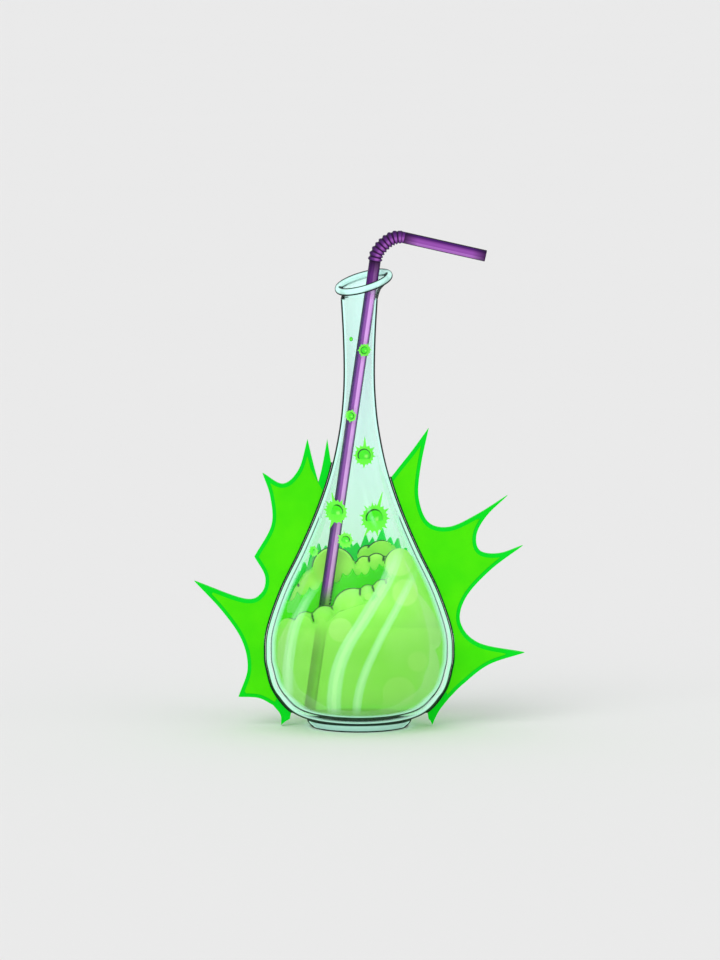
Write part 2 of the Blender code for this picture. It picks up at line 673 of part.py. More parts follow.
def make_splats(parts, cutters, looks, outer, bore):
    """Splats on the front of the inner wall: a star of film with a thicker bead in its middle."""
    reach = BULB_RADIUS
    for name, drawn_across, drawn_up, bead, star, spikes in SPLATS:
        x, z = drawn_x(drawn_across, drawn_up), drawn_z(drawn_up)
        span = (max([reach_mm for _, reach_mm in spikes] + [bead]) + 2.0) * MM
        low, high = z - span, z + span
        thickness = min(BEAD_THICKNESS, BEAD_SLENDERNESS * bead * MM)
        lump_skin = wall_skin(f"bead_skin_{name}", cutters, outer, GAP, thickness, low, high)
        lump = prism(f"splat_bead_{name}", disc_outline(x, z, bead * MM), -reach, -GAP, parts,
                     looks["bead"])
        boolean(lump, lump_skin, "INTERSECT")
        boolean(lump, bore, "DIFFERENCE")
        if not spikes:
            continue
        film_skin = wall_skin(f"film_skin_{name}", cutters, outer, GAP, FILM_THICKNESS, low, high)
        film = prism(f"splat_star_{name}", star_outline(x, z, star, spikes), -reach, -GAP, parts,
                     looks["film"])
        boolean(film, film_skin, "INTERSECT")
        eye = as_cutter(prism(f"eye_{name}", disc_outline(x, z, bead * MM + GAP), -1.1 * reach,
                              0.0, cutters))
        boolean(film, eye, "DIFFERENCE")
        boolean(film, bore, "DIFFERENCE")


# ================================================================ splash wings
LEFT_SCALLOPS = (
    ((-14.4, 130.1), (-16.6, 118.0), (-18.4, 110.6)),
    ((-18.4, 110.6), (-20.4, 118.0), (-23.3, 130.1)),
    ((-23.3, 130.1), (-27.2, 116.5), (-34.3, 109.9), (-43.5, 114.8)),
    ((-43.5, 114.8), (-40.0, 104.0), (-39.6, 91.0), (-47.2, 77.0)),
    ((-47.2, 77.0), (-42.4, 68.0), (-44.2, 60.3), (-52.0, 57.8), (-74.3, 65.9)),
    ((-74.3, 65.9), (-61.5, 52.0), (-52.9, 39.0), (-50.4, 26.0), (-54.5, 13.3)),
    ((-54.5, 13.3), (-45.5, 12.8), (-39.0, 9.6)),
    ((-39.0, 9.6), (-35.6, 5.2), (-35.3, 0.4)),
    ((-35.3, 0.4), (-33.2, 2.2), (-31.3, 3.2)),
)
RIGHT_SCALLOPS = (
    ((15.8, 114.6), (18.0, 117.5)),
    ((18.0, 117.5), (23.6, 124.6), (31.2, 135.1)),
    ((31.2, 135.1), (27.7, 118.1), (26.7, 104.0), (31.0, 92.6), (40.5, 90.3), (53.0, 96.0),
     (66.7, 104.7)),
    ((66.7, 104.7), (57.4, 95.6), (52.8, 87.0), (54.4, 79.6), (63.0, 78.4), (73.6, 82.0)),
    ((73.6, 82.0), (59.0, 70.9), (48.0, 58.4), (45.7, 46.9), (54.0, 37.6), (74.5, 33.4)),
    ((74.5, 33.4), (58.5, 28.0), (47.0, 19.2), (40.6, 12.8)),
    ((40.6, 12.8), (36.0, 6.8), (32.9, 0.4)),
    ((32.9, 0.4), (32.3, 2.2), (31.3, 3.2)),
)
# The drawn heights between which each wing meets the bulb.
LEFT_SEAT = (6.0, 119.5)
RIGHT_SEAT = (6.0, 113.0)
# The scallops that the coloured face follows, and the drawn heights where it meets the seal.
LEFT_FACE = (1, 7, 12.5, 107.0)
RIGHT_FACE = (1, 6, 15.5, 111.0)


def join_scallops(scallops):
    run = []
    for scallop in scallops:
        run += catmull(on_glass(scallop), SCALLOP_STEPS)[:-1]
    return run + on_glass(scallops[-1][-1:])


def bulb_edge(outer, distance, low, high, side):
    """The bulb's outline, moved outwards, from a low height to a high one on one side."""
    run = cut_run(offset_run(outer, [distance for _ in outer]), low, high)
    return [(side * r, z) for r, z in run]


def make_wing(side_name, side, scallops, face, seat_heights, parts, cutters, looks, outer):
    inner_gap = GAP + SEAL_WIDTH + GAP
    half = 0.5 * WING_THICKNESS
    low_z, high_z = (drawn_z(z) for z in seat_heights)
    outline = join_scallops(scallops) + bulb_edge(outer, inner_gap, low_z, high_z, side)
    plate = prism(f"wing_{side_name}", outline, -half, half, parts, looks["border"])
    first, last, face_low, face_high = face
    outside = join_scallops(scallops[first:last])
    inside = bulb_edge(outer, inner_gap, drawn_z(face_low), drawn_z(face_high), side)
    borders = [WING_BORDER] * (len(outside) - 1) + [WING_RIM] * (len(inside) + 1)
    pocket = inset_outline(outside + inside, borders)
    fitted = inset_outline(pocket, [GAP] * len(pocket))
    floor = half - RECESS_DEPTH
    for name, sign in (("front", -1), ("back", 1)):
        ends = sorted((sign * floor, sign * (half + 1 * MM)))
        recess = as_cutter(prism(f"recess_{side_name}_{name}", pocket, *ends, cutters))
        boolean(plate, recess, "DIFFERENCE")
        seat = floor + GAP
        ends = sorted((sign * seat, sign * (seat + INLAY_THICKNESS)))
        prism(f"inlay_{side_name}_{name}", fitted, *ends, parts, looks["inlay"])
    near = bulb_edge(outer, GAP, low_z, high_z, side)
    far = bulb_edge(outer, GAP + SEAL_WIDTH, low_z, high_z, side)
    prism(f"seal_{side_name}", near + far[::-1], -half, half, parts, looks["seal"])


# ================================================================ build
def main():
    clear_scene()
    parts = new_collection("potion_flask")
    cutters = new_collection("cutters")
    glass = principled("clear_glass", (0.78, 1.0, 0.93), 0.04, alpha=0.4, transmission=0.9)
    plastic = principled("purple_plastic", (0.36, 0.10, 0.46), 0.3)
    plastic_dark = principled("purple_bellows", (0.28, 0.06, 0.38), 0.35)
    looks = {
        "potion": principled("green_potion", (0.27, 0.79, 0.10), 0.12, alpha=0.85),
        "surge": principled("bright_potion", (0.07, 0.76, 0.01), 0.15),
        "foam": principled("potion_foam", (0.35, 0.81, 0.12), 0.45),
        "crown": principled("emerald_splash", (0.0, 0.78, 0.07), 0.2),
        "film": principled("splat_film", (0.16, 0.93, 0.03), 0.25),
        "bead": principled("splat_bead", (0.07, 0.90, 0.0), 0.12),
        "border": principled("emerald_border", (0.0, 0.78, 0.02), 0.35),
        "inlay": principled("lime_inlay", (0.06, 0.79, 0.0), 0.3),
        "seal": principled("black_seal", (0.02, 0.03, 0.02), 0.6),
    }
    outer = outer_run()
    make_flask(parts, glass, outer)
    make_foot(parts, glass, outer)
    make_lip(parts, glass)
    end, along = straw_end(outer)
    make_straw(parts, plastic, plastic_dark, end, along)
    bore = straw_bore(cutters, end)
    make_contents(parts, cutters, looks, outer, bore)
    make_splats(parts, cutters, looks, outer, bore)
    make_wing("left", -1, LEFT_SCALLOPS, LEFT_FACE, LEFT_SEAT, parts, cutters, looks, outer)
    make_wing("right", 1, RIGHT_SCALLOPS, RIGHT_FACE, RIGHT_SEAT, parts, cutters, looks, outer)


main()
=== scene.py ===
"""Potion flask with a bendy straw: the finished look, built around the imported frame.

Metres, +Z up. The front looks along -Y and the straw leans and bends towards +X.
"""

import math

import bmesh
import bpy
import numpy as np
from mathutils import Matrix, Vector


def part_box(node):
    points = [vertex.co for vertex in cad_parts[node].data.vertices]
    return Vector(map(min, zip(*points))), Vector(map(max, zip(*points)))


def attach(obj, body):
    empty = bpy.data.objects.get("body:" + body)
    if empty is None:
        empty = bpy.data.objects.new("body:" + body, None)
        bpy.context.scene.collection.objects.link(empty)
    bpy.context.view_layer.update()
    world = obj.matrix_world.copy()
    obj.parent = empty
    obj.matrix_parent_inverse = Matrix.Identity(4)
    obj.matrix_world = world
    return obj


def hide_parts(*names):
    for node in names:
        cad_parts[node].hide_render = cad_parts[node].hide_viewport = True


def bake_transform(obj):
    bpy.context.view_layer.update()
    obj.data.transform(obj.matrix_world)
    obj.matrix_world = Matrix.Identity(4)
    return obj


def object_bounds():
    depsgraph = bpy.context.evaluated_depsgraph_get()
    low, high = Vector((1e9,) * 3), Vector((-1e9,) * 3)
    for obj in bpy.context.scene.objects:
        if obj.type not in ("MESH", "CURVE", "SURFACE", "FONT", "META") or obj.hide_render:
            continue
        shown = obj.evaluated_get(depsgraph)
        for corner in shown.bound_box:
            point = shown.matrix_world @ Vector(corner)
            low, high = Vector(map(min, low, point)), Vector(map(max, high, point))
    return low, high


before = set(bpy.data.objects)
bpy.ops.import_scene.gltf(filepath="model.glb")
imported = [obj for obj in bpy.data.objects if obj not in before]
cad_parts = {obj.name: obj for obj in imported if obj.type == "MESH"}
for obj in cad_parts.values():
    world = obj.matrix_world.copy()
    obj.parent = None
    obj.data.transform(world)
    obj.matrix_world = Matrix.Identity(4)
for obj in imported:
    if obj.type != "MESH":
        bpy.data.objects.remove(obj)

bl_info = {
    "name": "Potion Flask",
    "version": (1, 0, 0),
    "blender": (4, 5, 0),
    "location": "3D View > Sidebar > Potion Flask",
    "description": "Builds a glass potion flask with foam, splats, a bendy straw and splash wings",
    "category": "Object",
}

MM = 0.001
GLASS_SEGMENTS = 160
STRAW_SEGMENTS = 48
LINE_WIDTH = 0.55 * MM
SIGHT_RISE = math.radians(6.0)
LIP_SIGHT_RISE = 0.105
ROLL_FIRST, ROLL_LAST, ROLL_STEP = -105, 215, 8
WALL_INSET = 2.9 * MM
FRONT_RIDGE = 14.5
CAMERA_DISTANCE = 2.6
CAMERA_TARGET = (0.34 * MM, 0.0, 111.6 * MM)
SENSOR_WIDTH = 36.0
VIEW_SIZE = 0.432
SEAL_INNER, SEAL_OUTER = 0.15 * MM, 0.7 * MM
WING_INNER, FACE_INNER = 0.75 * MM, 0.85 * MM
WING_LOW_Z = 6 * MM
INLAY_DEPTH = 0.3 * MM
CAD_BOX = [list(corner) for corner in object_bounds()]
FLASK_LOW, FLASK_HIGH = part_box("flask_body")
TUBE_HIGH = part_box("straw_lower_tube")[1]


# ================================================================ sizes and colours
def colour(name, text, rgb):
    return bpy.props.FloatVectorProperty(name=name, description=text, default=rgb, size=3, min=0.0,
                                         max=1.0, subtype="COLOR")


def length(name, text, default):
    return bpy.props.FloatProperty(name=name, description=text, default=default, min=0.0,
                                   precision=5, unit="LENGTH")


class FlaskSizes(bpy.types.PropertyGroup):
    """Sizes of the glass, the straw, the contents and the wings."""

    bulb_radius: length("Bulb radius", "Outer radius of the bulb", FLASK_HIGH[0])
    bottom_z: length("Bottom height", "Underside of the bulb above the desk", FLASK_LOW[2])
    widest_z: length("Widest height", "Height of the bulb's widest ring", 32.4 * MM)
    waist_radius: length("Waist radius", "Outer radius of the neck at its waist", 7.1 * MM)
    waist_z: length("Waist height", "Height of the neck's waist", 161.4 * MM)
    neck_radius: length("Neck radius", "Outer radius at the top of the neck", 8.35 * MM)
    neck_z: length("Neck height", "Height of the top of the neck", FLASK_HIGH[2])
    wall_base: length("Base wall", "Wall of the glass under the potion", 2.8 * MM)
    wall_bulb: length("Bulb wall", "Wall of the glass at the widest ring", 2.3 * MM)
    wall_waist: length("Waist wall", "Wall of the glass at the waist", 0.9 * MM)
    wall_mouth: length("Mouth wall", "Wall of the glass at the mouth", 0.7 * MM)
    foot_top: length("Foot top radius", "Radius of the foot where it meets the bulb", 23.9 * MM)
    foot_base: length("Foot base radius", "Radius of the foot on the desk", 21.4 * MM)
    lip_x: length("Lip offset", "How far the rolled lip stands to the right", 2.0 * MM)
    lip_z: length("Lip height", "Height of the middle of the rolled lip", 200.8 * MM)
    lip_radius: length("Lip radius", "Radius of the rolled lip's middle line", 11.9 * MM)
    lip_half_width: length("Lip half width", "Half the width of the rolled lip", 1.5 * MM)
    lip_half_height: length("Lip half height", "Half the height of the rolled lip", 1.75 * MM)
    straw_radius: length("Straw radius", "Outer radius of the straw", 2.6 * MM)
    straw_wall: length("Straw wall", "Wall of the straw", 0.35 * MM)
    straw_top_z: length("Straw bend height", "Height where the bellows starts", TUBE_HIGH[2])
    arm_length: length("Arm length", "Length of the straw past the bellows", 37.4 * MM)
    fold_radius: length("Fold radius", "Outer radius of the bellows", 3.3 * MM)
    fold_pitch: length("Fold pitch", "Length of one fold along the straw", 2.0 * MM)
    potion_z: length("Potion height", "Level of the potion under the foam", 44.0 * MM)
    voxel: length("Foam grain", "Size of the grid that joins the puffs", 0.55 * MM)
    wing_thickness: length("Wing thickness", "Thickness of the splash wings", 3.0 * MM)
    wing_border: length("Wing border", "Width of the wings' outer border", 1.7 * MM)
    gap: length("Gap", "Gap between neighbouring pieces", 0.3 * MM)
    straw_lean: bpy.props.FloatProperty(
        name="Straw lean", description="Lean of the straw from upright", subtype="ANGLE",
        default=math.radians(8.28))
    lip_tilt_side: bpy.props.FloatProperty(
        name="Lip side tilt", description="Tilt of the lip to the left", subtype="ANGLE",
        default=math.radians(16.0))
    lip_tilt_front: bpy.props.FloatProperty(
        name="Lip front tilt", description="Tilt of the lip to the front", subtype="ANGLE",
        default=math.radians(11.0))


class FlaskColours(bpy.types.PropertyGroup):
    """Colours of the finishes."""

    glass: colour("Glass", "Pale aqua of the glass", (0.60, 1.0, 0.90))
    # Painted shade: the dark line the glass gets where it is seen edge on.
    glass_edge_shade: colour("Glass edge", "Dark line of the glass seen edge on", (0.004, 0.012, 0.010))
    potion: colour("Potion", "Light green of the potion", (0.36, 0.86, 0.14))
    potion_deep: colour("Deep potion", "Deeper green of the potion", (0.27, 0.80, 0.07))
    foam: colour("Foam", "Light green of the foam", (0.42, 0.90, 0.11))
    foam_shade: colour("Foam shade", "Green in the foam's hollows", (0.10, 0.68, 0.02))
    # Painted shade: the dark line between two puffs.
    crease_shade: colour("Crease", "Dark line between two puffs", (0.006, 0.05, 0.008))
    # Painted shade: the surge's saturated green stands for the shade under the back foam.
    surge: colour("Surge", "Saturated green behind the front foam", (0.063, 0.74, 0.003))
    crown: colour("Crown", "Emerald of the splash behind the foam", (0.0, 0.76, 0.07))
    film: colour("Splat", "Lime of the splats", (0.12, 0.90, 0.02))
    bead: colour("Bead", "Green of the beads", (0.06, 0.80, 0.0))
    # Painted highlight on a bead's crown.
    bead_highlight: colour("Bead light", "Light green of a bead's crown", (0.33, 0.92, 0.13))
    # Painted shade: the shaded side of the straw, also the tint of its mottling.
    straw_shade_and_mottle: colour("Straw shade", "Dark purple of the straw", (0.055, 0.006, 0.13))
    straw_mid: colour("Straw", "Purple of the straw", (0.29, 0.075, 0.40))
    # Painted light: the lit side of the straw.
    straw_lit_side: colour("Straw light", "Pink of the straw's light side", (0.80, 0.36, 0.89))
    border: colour("Wing border", "Emerald of the wings' border", (0.0, 0.74, 0.02))
    face: colour("Wing face", "Lime of the wings' face", (0.055, 0.76, 0.0))
    seal: colour("Seal", "Black of the bonding bead", (0.006, 0.012, 0.008))
    floor: colour("Floor", "Pale grey of the floor", (0.80, 0.80, 0.80))


def sizes():
    return bpy.context.scene.flask_sizes


def colours():
    return bpy.context.scene.flask_colours


# ================================================================ curves in the plane
def catmull(points, steps):
    """A smooth run through the points, with its ends on the first and the last."""
    first = tuple(2 * points[0][a] - points[1][a] for a in (0, 1))
    last = tuple(2 * points[-1][a] - points[-2][a] for a in (0, 1))
    knots = [first] + list(points) + [last]
    run = []
    for i in range(1, len(knots) - 2):
        p0, p1, p2, p3 = knots[i - 1:i + 3]
        for k in range(steps):
            t = k / steps
            run.append(tuple(
                0.5 * (2 * p1[a] + (p2[a] - p0[a]) * t
                       + (2 * p0[a] - 5 * p1[a] + 4 * p2[a] - p3[a]) * t * t
                       + (3 * p1[a] - p0[a] - 3 * p2[a] + p3[a]) * t ** 3)
                for a in (0, 1)))
    run.append(tuple(points[-1]))
    return run


def unit_normal(before, after):
    dx, dz = after[0] - before[0], after[1] - before[1]
    reach = math.hypot(dx, dz)
    return dz / reach, -dx / reach


def offset_run(run, distances):
    """The run moved to its right; points on the axis stay on it."""
    moved = []
    for i, point in enumerate(run):
        nx, nz = unit_normal(run[max(i - 1, 0)], run[min(i + 1, len(run) - 1)])
        if point[0] < 1e-9:
            moved.append((0.0, point[1] + distances[i] * math.copysign(1.0, nz)))
        else:
            moved.append((point[0] + nx * distances[i], point[1] + nz * distances[i]))
    return moved


def outer_run(steps=6):
    """The outside of the glass as a climbing run from the axis to the top of the neck."""
    s = sizes()
    drop, rise = s.widest_z - s.bottom_z, s.waist_z - s.widest_z
    bowl = [(s.bulb_radius * share, s.widest_z - drop * fall) for fall, share in
            ((1.0, 0.0), (0.99, 0.30), (0.94, 0.56), (0.81, 0.757), (0.52, 0.915), (0.22, 0.98),
             (0.0, 1.0))]
    shoulder = [(s.waist_radius + (s.bulb_radius - s.waist_radius) * share, s.widest_z + rise * climb)
                for climb, share in ((0.09, 0.973), (0.23, 0.797), (0.37, 0.549), (0.51, 0.33),
                                     (0.65, 0.162), (0.79, 0.056), (0.90, 0.012))]
    middle = (s.waist_radius + 0.3 * (s.neck_radius - s.waist_radius), 0.5 * (s.waist_z + s.neck_z))
    neck = [(s.waist_radius, s.waist_z), middle, (s.neck_radius, s.neck_z)]
    run = catmull(bowl + shoulder + neck, steps)
    return [(min(max(r, 0.0), s.bulb_radius), max(z, s.bottom_z)) for r, z in run]


def wall_at(z):
    s = sizes()
    return float(np.interp(z, (s.bottom_z, s.widest_z, s.waist_z, s.neck_z),
                           (s.wall_base, s.wall_bulb, s.wall_waist, s.wall_mouth)))


def inner_run(extra=0.0, steps=6):
    run = offset_run(outer_run(steps), [-(wall_at(z) + extra) for _, z in outer_run(steps)])
    return run[:-1] + [(run[-1][0], sizes().neck_z)]


def run_radius(run, heights):
    """Radius of a climbing run at many heights."""
    lifted = [p for i, p in enumerate(run) if i == 0 or p[1] > run[i - 1][1] + 1e-9]
    return np.interp(heights, [p[1] for p in lifted], [p[0] for p in lifted])


# ================================================================ mesh helpers
def metres(points):
    return [(x * MM, z * MM) for x, z in points]


def mesh_from(cage, name):
    mesh = bpy.data.meshes.new(name)
    cage.to_mesh(mesh)
    cage.free()
    return mesh


def linked(name, data):
    obj = bpy.data.objects.new(name, data)
    bpy.context.scene.collection.objects.link(obj)
    return obj


def finished(name, mesh_cage, finishes, body, nodes=(), sharp=40.0, normals=True):
    """An object at the origin, smooth with sharp edges, that rides on a body if one is given."""
    bmesh.ops.remove_doubles(mesh_cage, verts=mesh_cage.verts, dist=1e-6)
    if normals:
        bmesh.ops.recalc_face_normals(mesh_cage, faces=mesh_cage.faces)
    mesh = mesh_from(mesh_cage, name)
    mesh.shade_smooth()
    mesh.set_sharp_from_angle(angle=math.radians(sharp))
    for finish in finishes:
        mesh.materials.append(finish)
    obj = linked(name, mesh)
    if body:
        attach(obj, body)
    if nodes:
        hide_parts(*nodes)
    return obj


def spun(profile, segments, closed=False):
    """A profile at +X spun about Z."""
    cage = bmesh.new()
    verts = [cage.verts.new((r, 0.0, z)) for r, z in profile]
    edges = [cage.edges.new(pair) for pair in zip(verts, verts[1:])]
    if closed:
        edges.append(cage.edges.new((verts[-1], verts[0])))
    bmesh.ops.spin(cage, geom=verts + edges, cent=(0, 0, 0), axis=(0, 0, 1), angle=2 * math.pi,
                   steps=segments, use_merge=True)
    bmesh.ops.remove_doubles(cage, verts=cage.verts, dist=1e-7)
    return cage


def plate(cage, outline, low_y, high_y):
    """A flat outline in the XZ plane with a thickness along Y."""
    made = bmesh.ops.create_circle(cage, cap_ends=True, radius=1.0, segments=len(outline))
    for vert, (x, z) in zip(made["verts"], outline):
        vert.co = (x, low_y, z)
    face = made["verts"][0].link_faces[0]
    grown = bmesh.ops.extrude_face_region(cage, geom=[face])
    moved = [g for g in grown["geom"] if isinstance(g, bmesh.types.BMVert)]
    bmesh.ops.translate(cage, vec=(0.0, high_y - low_y, 0.0), verts=moved)
    return cage


def bridged(rings, segments, closed):
    """Rings, each a place and a radius, joined one to the next."""
    cage = bmesh.new()
    loops = []
    for place, radius in rings:
        made = bmesh.ops.create_circle(cage, cap_ends=False, radius=radius, segments=segments,
                                       matrix=place)
        loops.append(list({edge for vert in made["verts"] for edge in vert.link_edges}))
    following = loops[1:] + (loops[:1] if closed else [])
    for lower, upper in zip(loops, following):
        bmesh.ops.bridge_loops(cage, edges=lower + upper)
    return cage


def attribute(obj, name, values):
    layer = obj.data.attributes.new(name, "FLOAT", "POINT")
    layer.data.foreach_set("value", np.asarray(values, dtype=np.float32))


def positions(obj):
    flat = np.empty(len(obj.data.vertices) * 3, dtype=np.float32)
    obj.data.vertices.foreach_get("co", flat)
    return flat.reshape(-1, 3).astype(float)


# ================================================================ finishes
class Finish:
    """A material and the steps that its nodes are made from."""

    def __init__(self, name):
        self.material = bpy.data.materials.new(name)
        self.material.use_nodes = True
        self.tree = self.material.node_tree
        self.tree.nodes.clear()
        self.output = self.node("ShaderNodeOutputMaterial")

    def node(self, kind, inputs=(), **settings):
        made = self.tree.nodes.new(kind)
        for key, value in settings.items():
            setattr(made, key, value)
        for key, value in dict(inputs).items():
            self.feed(made.inputs[key], value)
        return made

    def feed(self, socket, value):
        if isinstance(value, bpy.types.NodeSocket):
            self.tree.links.new(value, socket)
        elif hasattr(value, "__len__") and len(value) == 3 and socket.type == "RGBA":
            socket.default_value = (*value, 1.0)
        else:
            socket.default_value = value

    def place(self):
        return self.node("ShaderNodeTexCoord").outputs["Object"]

    def stored(self, name):
        return self.node("ShaderNodeAttribute", attribute_name=name).outputs["Fac"]

    def math(self, operation, a, b=0.0, clamp=False):
        return self.node("ShaderNodeMath", {0: a, 1: b}, operation=operation,
                         use_clamp=clamp).outputs[0]

    def times(self, a, b, clamp=False):
        return self.math("MULTIPLY", a, b, clamp)

    def minus(self, a, b):
        return self.math("SUBTRACT", a, b)

    def plus(self, a, b, clamp=False):
        return self.math("ADD", a, b, clamp)

    def most(self, a, b, clamp=False):
        return self.math("MAXIMUM", a, b, clamp)

    def dot(self, direction):
        """Distance along a direction, from Object coordinates."""
        return self.node("ShaderNodeVectorMath", {0: self.place(), 1: direction},
                         operation="DOT_PRODUCT").outputs["Value"]

    def step(self, value, low, high):
        """0 below low and 1 above high, smooth between them; the other way round if low > high."""
        flip = low > high
        made = self.node("ShaderNodeMapRange", {"Value": value, "From Min": min(low, high),
                                                "From Max": max(low, high)},
                         interpolation_type="SMOOTHSTEP").outputs[0]
        return self.minus(1.0, made) if flip else made

    def edge_on_shade_line(self, slope):
        """Painted shade: dark where the surface turns edge on past the point's own start."""
        facing = self.node("ShaderNodeLayerWeight", {"Blend": 0.5}).outputs["Facing"]
        return self.times(self.minus(facing, self.stored("edge_start")), slope, clamp=True)

    def lines(self):
        """Painted shade: dark lines of the foam between two puffs and at the edge of each."""
        return self.most(self.stored("crease_shade"), self.edge_on_shade_line(22.0))

    def noise(self, scale, detail=3.0, roughness=0.5):
        return self.node("ShaderNodeTexNoise", {"Vector": self.place(), "Scale": scale,
                                                "Detail": detail, "Roughness": roughness}
                         ).outputs["Fac"]

    def mix(self, share, a, b, blend="MIX"):
        made = self.node("ShaderNodeMix", data_type="RGBA", blend_type=blend)
        self.feed(made.inputs[0], share)
        self.feed(made.inputs[6], a)
        self.feed(made.inputs[7], b)
        return made.outputs[2]

    def bump(self, height, strength, distance):
        return self.node("ShaderNodeBump", {"Height": height, "Strength": strength,
                                            "Distance": distance}).outputs["Normal"]

    def principled(self, **inputs):
        names = {key.replace("_", " "): value for key, value in inputs.items()}
        return self.node("ShaderNodeBsdfPrincipled", names).outputs[0]

    def finish(self, shader):
        self.tree.links.new(shader, self.output.inputs["Surface"])
        return self.material


def view_height(f):
    """Height across a slightly raised line of sight, which the patterns are laid out on."""
    return f.dot((0.0, math.sin(SIGHT_RISE), math.cos(SIGHT_RISE)))


# Painted highlights: each glare's path as heights and offsets across, its half width and its weight.
GLARE_STREAKS = (
    (((11.0, -31.9), (33.0, -31.2), (51.0, -26.7), (68.0, -16.2)), 2.1, 0.55),
    (((4.0, -10.9), (18.0, -10.9), (33.0, -7.2), (51.0, 3.3), (68.0, 13.1), (84.0, 18.0)), 2.7, 0.75),
    (((4.0, -1.2), (18.0, 0.3), (37.0, 7.8), (54.0, 16.8), (73.0, 26.6)), 1.7, 0.6),
    (((88.0, 8.4), (100.0, 3.6), (112.0, 1.2)), 0.9, 0.4),
)
DISCS = ((17.6, 16.1, 7.4), (13.5, 9.0, 4.1), (20.6, 60.7, 6.0), (18.0, 74.2, 6.2), (-8.3, 44.2, 5.4),
         (26.0, 30.0, 4.6))


def painted_glare_mask(f):
    """Painted highlights: long curved glares on the front of the bulb."""
    across, up, depth = f.dot((1, 0, 0)), view_height(f), f.dot((0, 1, 0))
    total = None
    for points, half_width, weight in GLARE_STREAKS:
        low, high = points[0][0] * MM, points[-1][0] * MM
        bend = f.node("ShaderNodeFloatCurve")
        share = f.node("ShaderNodeMapRange", {"Value": up, "From Min": low, "From Max": high}
                       ).outputs[0]
        curve = bend.mapping.curves[0]
        spots = [((z * MM - low) / (high - low), 0.5 + x / 100.0) for z, x in points]
        curve.points[0].location, curve.points[1].location = spots[0], spots[-1]
        for spot in spots[1:-1]:
            curve.points.new(*spot)
        bend.mapping.update()
        f.feed(bend.inputs["Value"], share)
        middle = f.times(f.minus(bend.outputs[0], 0.5), 100.0 * MM)
        off = f.math("ABSOLUTE", f.minus(across, middle))
        wide = f.step(off, half_width * 1.35 * MM, half_width * 0.85 * MM)
        core = f.step(off, half_width * 0.55 * MM, half_width * 0.25 * MM)
        band = f.plus(f.times(wide, 0.55), f.times(core, 0.45))
        ends = f.times(f.step(up, low, low + 7 * MM), f.step(up, high, high - 16 * MM))
        mask = f.times(f.times(band, ends), weight)
        total = mask if total is None else f.most(total, mask)
    front = f.step(depth, -2 * MM, -5 * MM)
    return f.times(total, front)


def disc_mask(f):
    """Round pale spots in the potion."""
    up = view_height(f)
    across, depth = f.dot((1, 0, 0)), f.dot((0, 1, 0))
    total = None
    for x, z, radius in DISCS:
        dx, dz = f.minus(across, x * MM), f.minus(up, z * MM)
        away = f.math("SQRT", f.plus(f.times(dx, dx), f.times(dz, dz)))
        spot = f.step(away, radius * 1.04 * MM, radius * 0.92 * MM)
        total = spot if total is None else f.plus(total, f.times(spot, 0.9))
    return f.times(total, f.step(depth, -2 * MM, -5 * MM), clamp=True)


def glass_finish(name, front_haze, back_haze, bulb_with_painted_glares=False):
    """Clear aqua glass: painted shade lines where it is seen edge on, paler in its wall, hazier at its
    back, with a painted glow and, on the bulb, painted glares.
    """
    c = colours()
    f = Finish(name)
    facing = f.node("ShaderNodeLayerWeight", {"Blend": 0.5}).outputs["Facing"]
    height, depth = f.dot((0, 0, 1)), f.dot((0, 1, 0))
    start = f.stored("edge_start")
    # Painted shade: dark lines where the glass turns edge on, and where they are stored on the piece.
    edge = f.most(f.edge_on_shade_line(34.0), f.stored("ink"), clamp=True)
    behind = f.step(depth, -0.5 * MM, 1.5 * MM)
    haze = f.plus(front_haze, f.times(behind, back_haze - front_haze))
    if bulb_with_painted_glares:
        haze = f.times(haze, f.plus(0.25, f.times(f.step(height, 0.045, 0.092), 0.75)))
    band = f.times(f.minus(facing, f.minus(start, 0.20)), 7.0, clamp=True)
    haze = f.most(haze, f.times(band, 0.80))
    haze = f.most(haze, f.stored("milk"))
    body_colour = f.mix(f.times(f.noise(30.0, 2.0), 0.25), c.glass, (0.70, 1.0, 0.93))
    if bulb_with_painted_glares:
        # Painted highlights: the glares raise the haze and turn the glass pale green in long curved
        # bands.
        glare = painted_glare_mask(f)
        haze = f.plus(haze, f.times(glare, 0.34), clamp=True)
        body_colour = f.mix(f.times(glare, 0.85), body_colour, (0.62, 1.0, 0.38))
    normal = f.bump(f.noise(55.0, 2.0), 0.04, 0.4 * MM)
    # Painted glow: the pane's emission makes the glass glow though it is no lamp.
    pane = f.principled(Base_Color=body_colour, Roughness=0.35, Normal=normal,
                        Specular_IOR_Level=0.2, Emission_Color=body_colour,
                        Emission_Strength=0.26)
    # The dark shader of the painted shade lines.
    ink = f.principled(Base_Color=c.glass_edge_shade, Roughness=0.5, Specular_IOR_Level=0.05)
    clear = f.node("ShaderNodeBsdfTransparent", {"Color": (0.985, 1.0, 0.995)}).outputs[0]
    mixed = f.node("ShaderNodeMixShader", {0: haze, 1: clear, 2: pane}).outputs[0]
    gloss = f.node("ShaderNodeBsdfGlossy", {"Color": (1.0, 1.0, 1.0), "Roughness": 0.08,
                                            "Normal": normal}).outputs[0]
    shine = f.node("ShaderNodeFresnel", {"IOR": 1.25, "Normal": normal}).outputs[0]
    shiny = f.node("ShaderNodeMixShader", {0: f.times(shine, 0.12), 1: mixed, 2: gloss}
                   ).outputs[0]
    inked = f.node("ShaderNodeMixShader", {0: edge, 1: shiny, 2: ink}).outputs[0]
    lamp = f.node("ShaderNodeLightPath").outputs["Is Shadow Ray"]
    return f.finish(f.node("ShaderNodeMixShader", {0: lamp, 1: inked, 2: clear}).outputs[0])


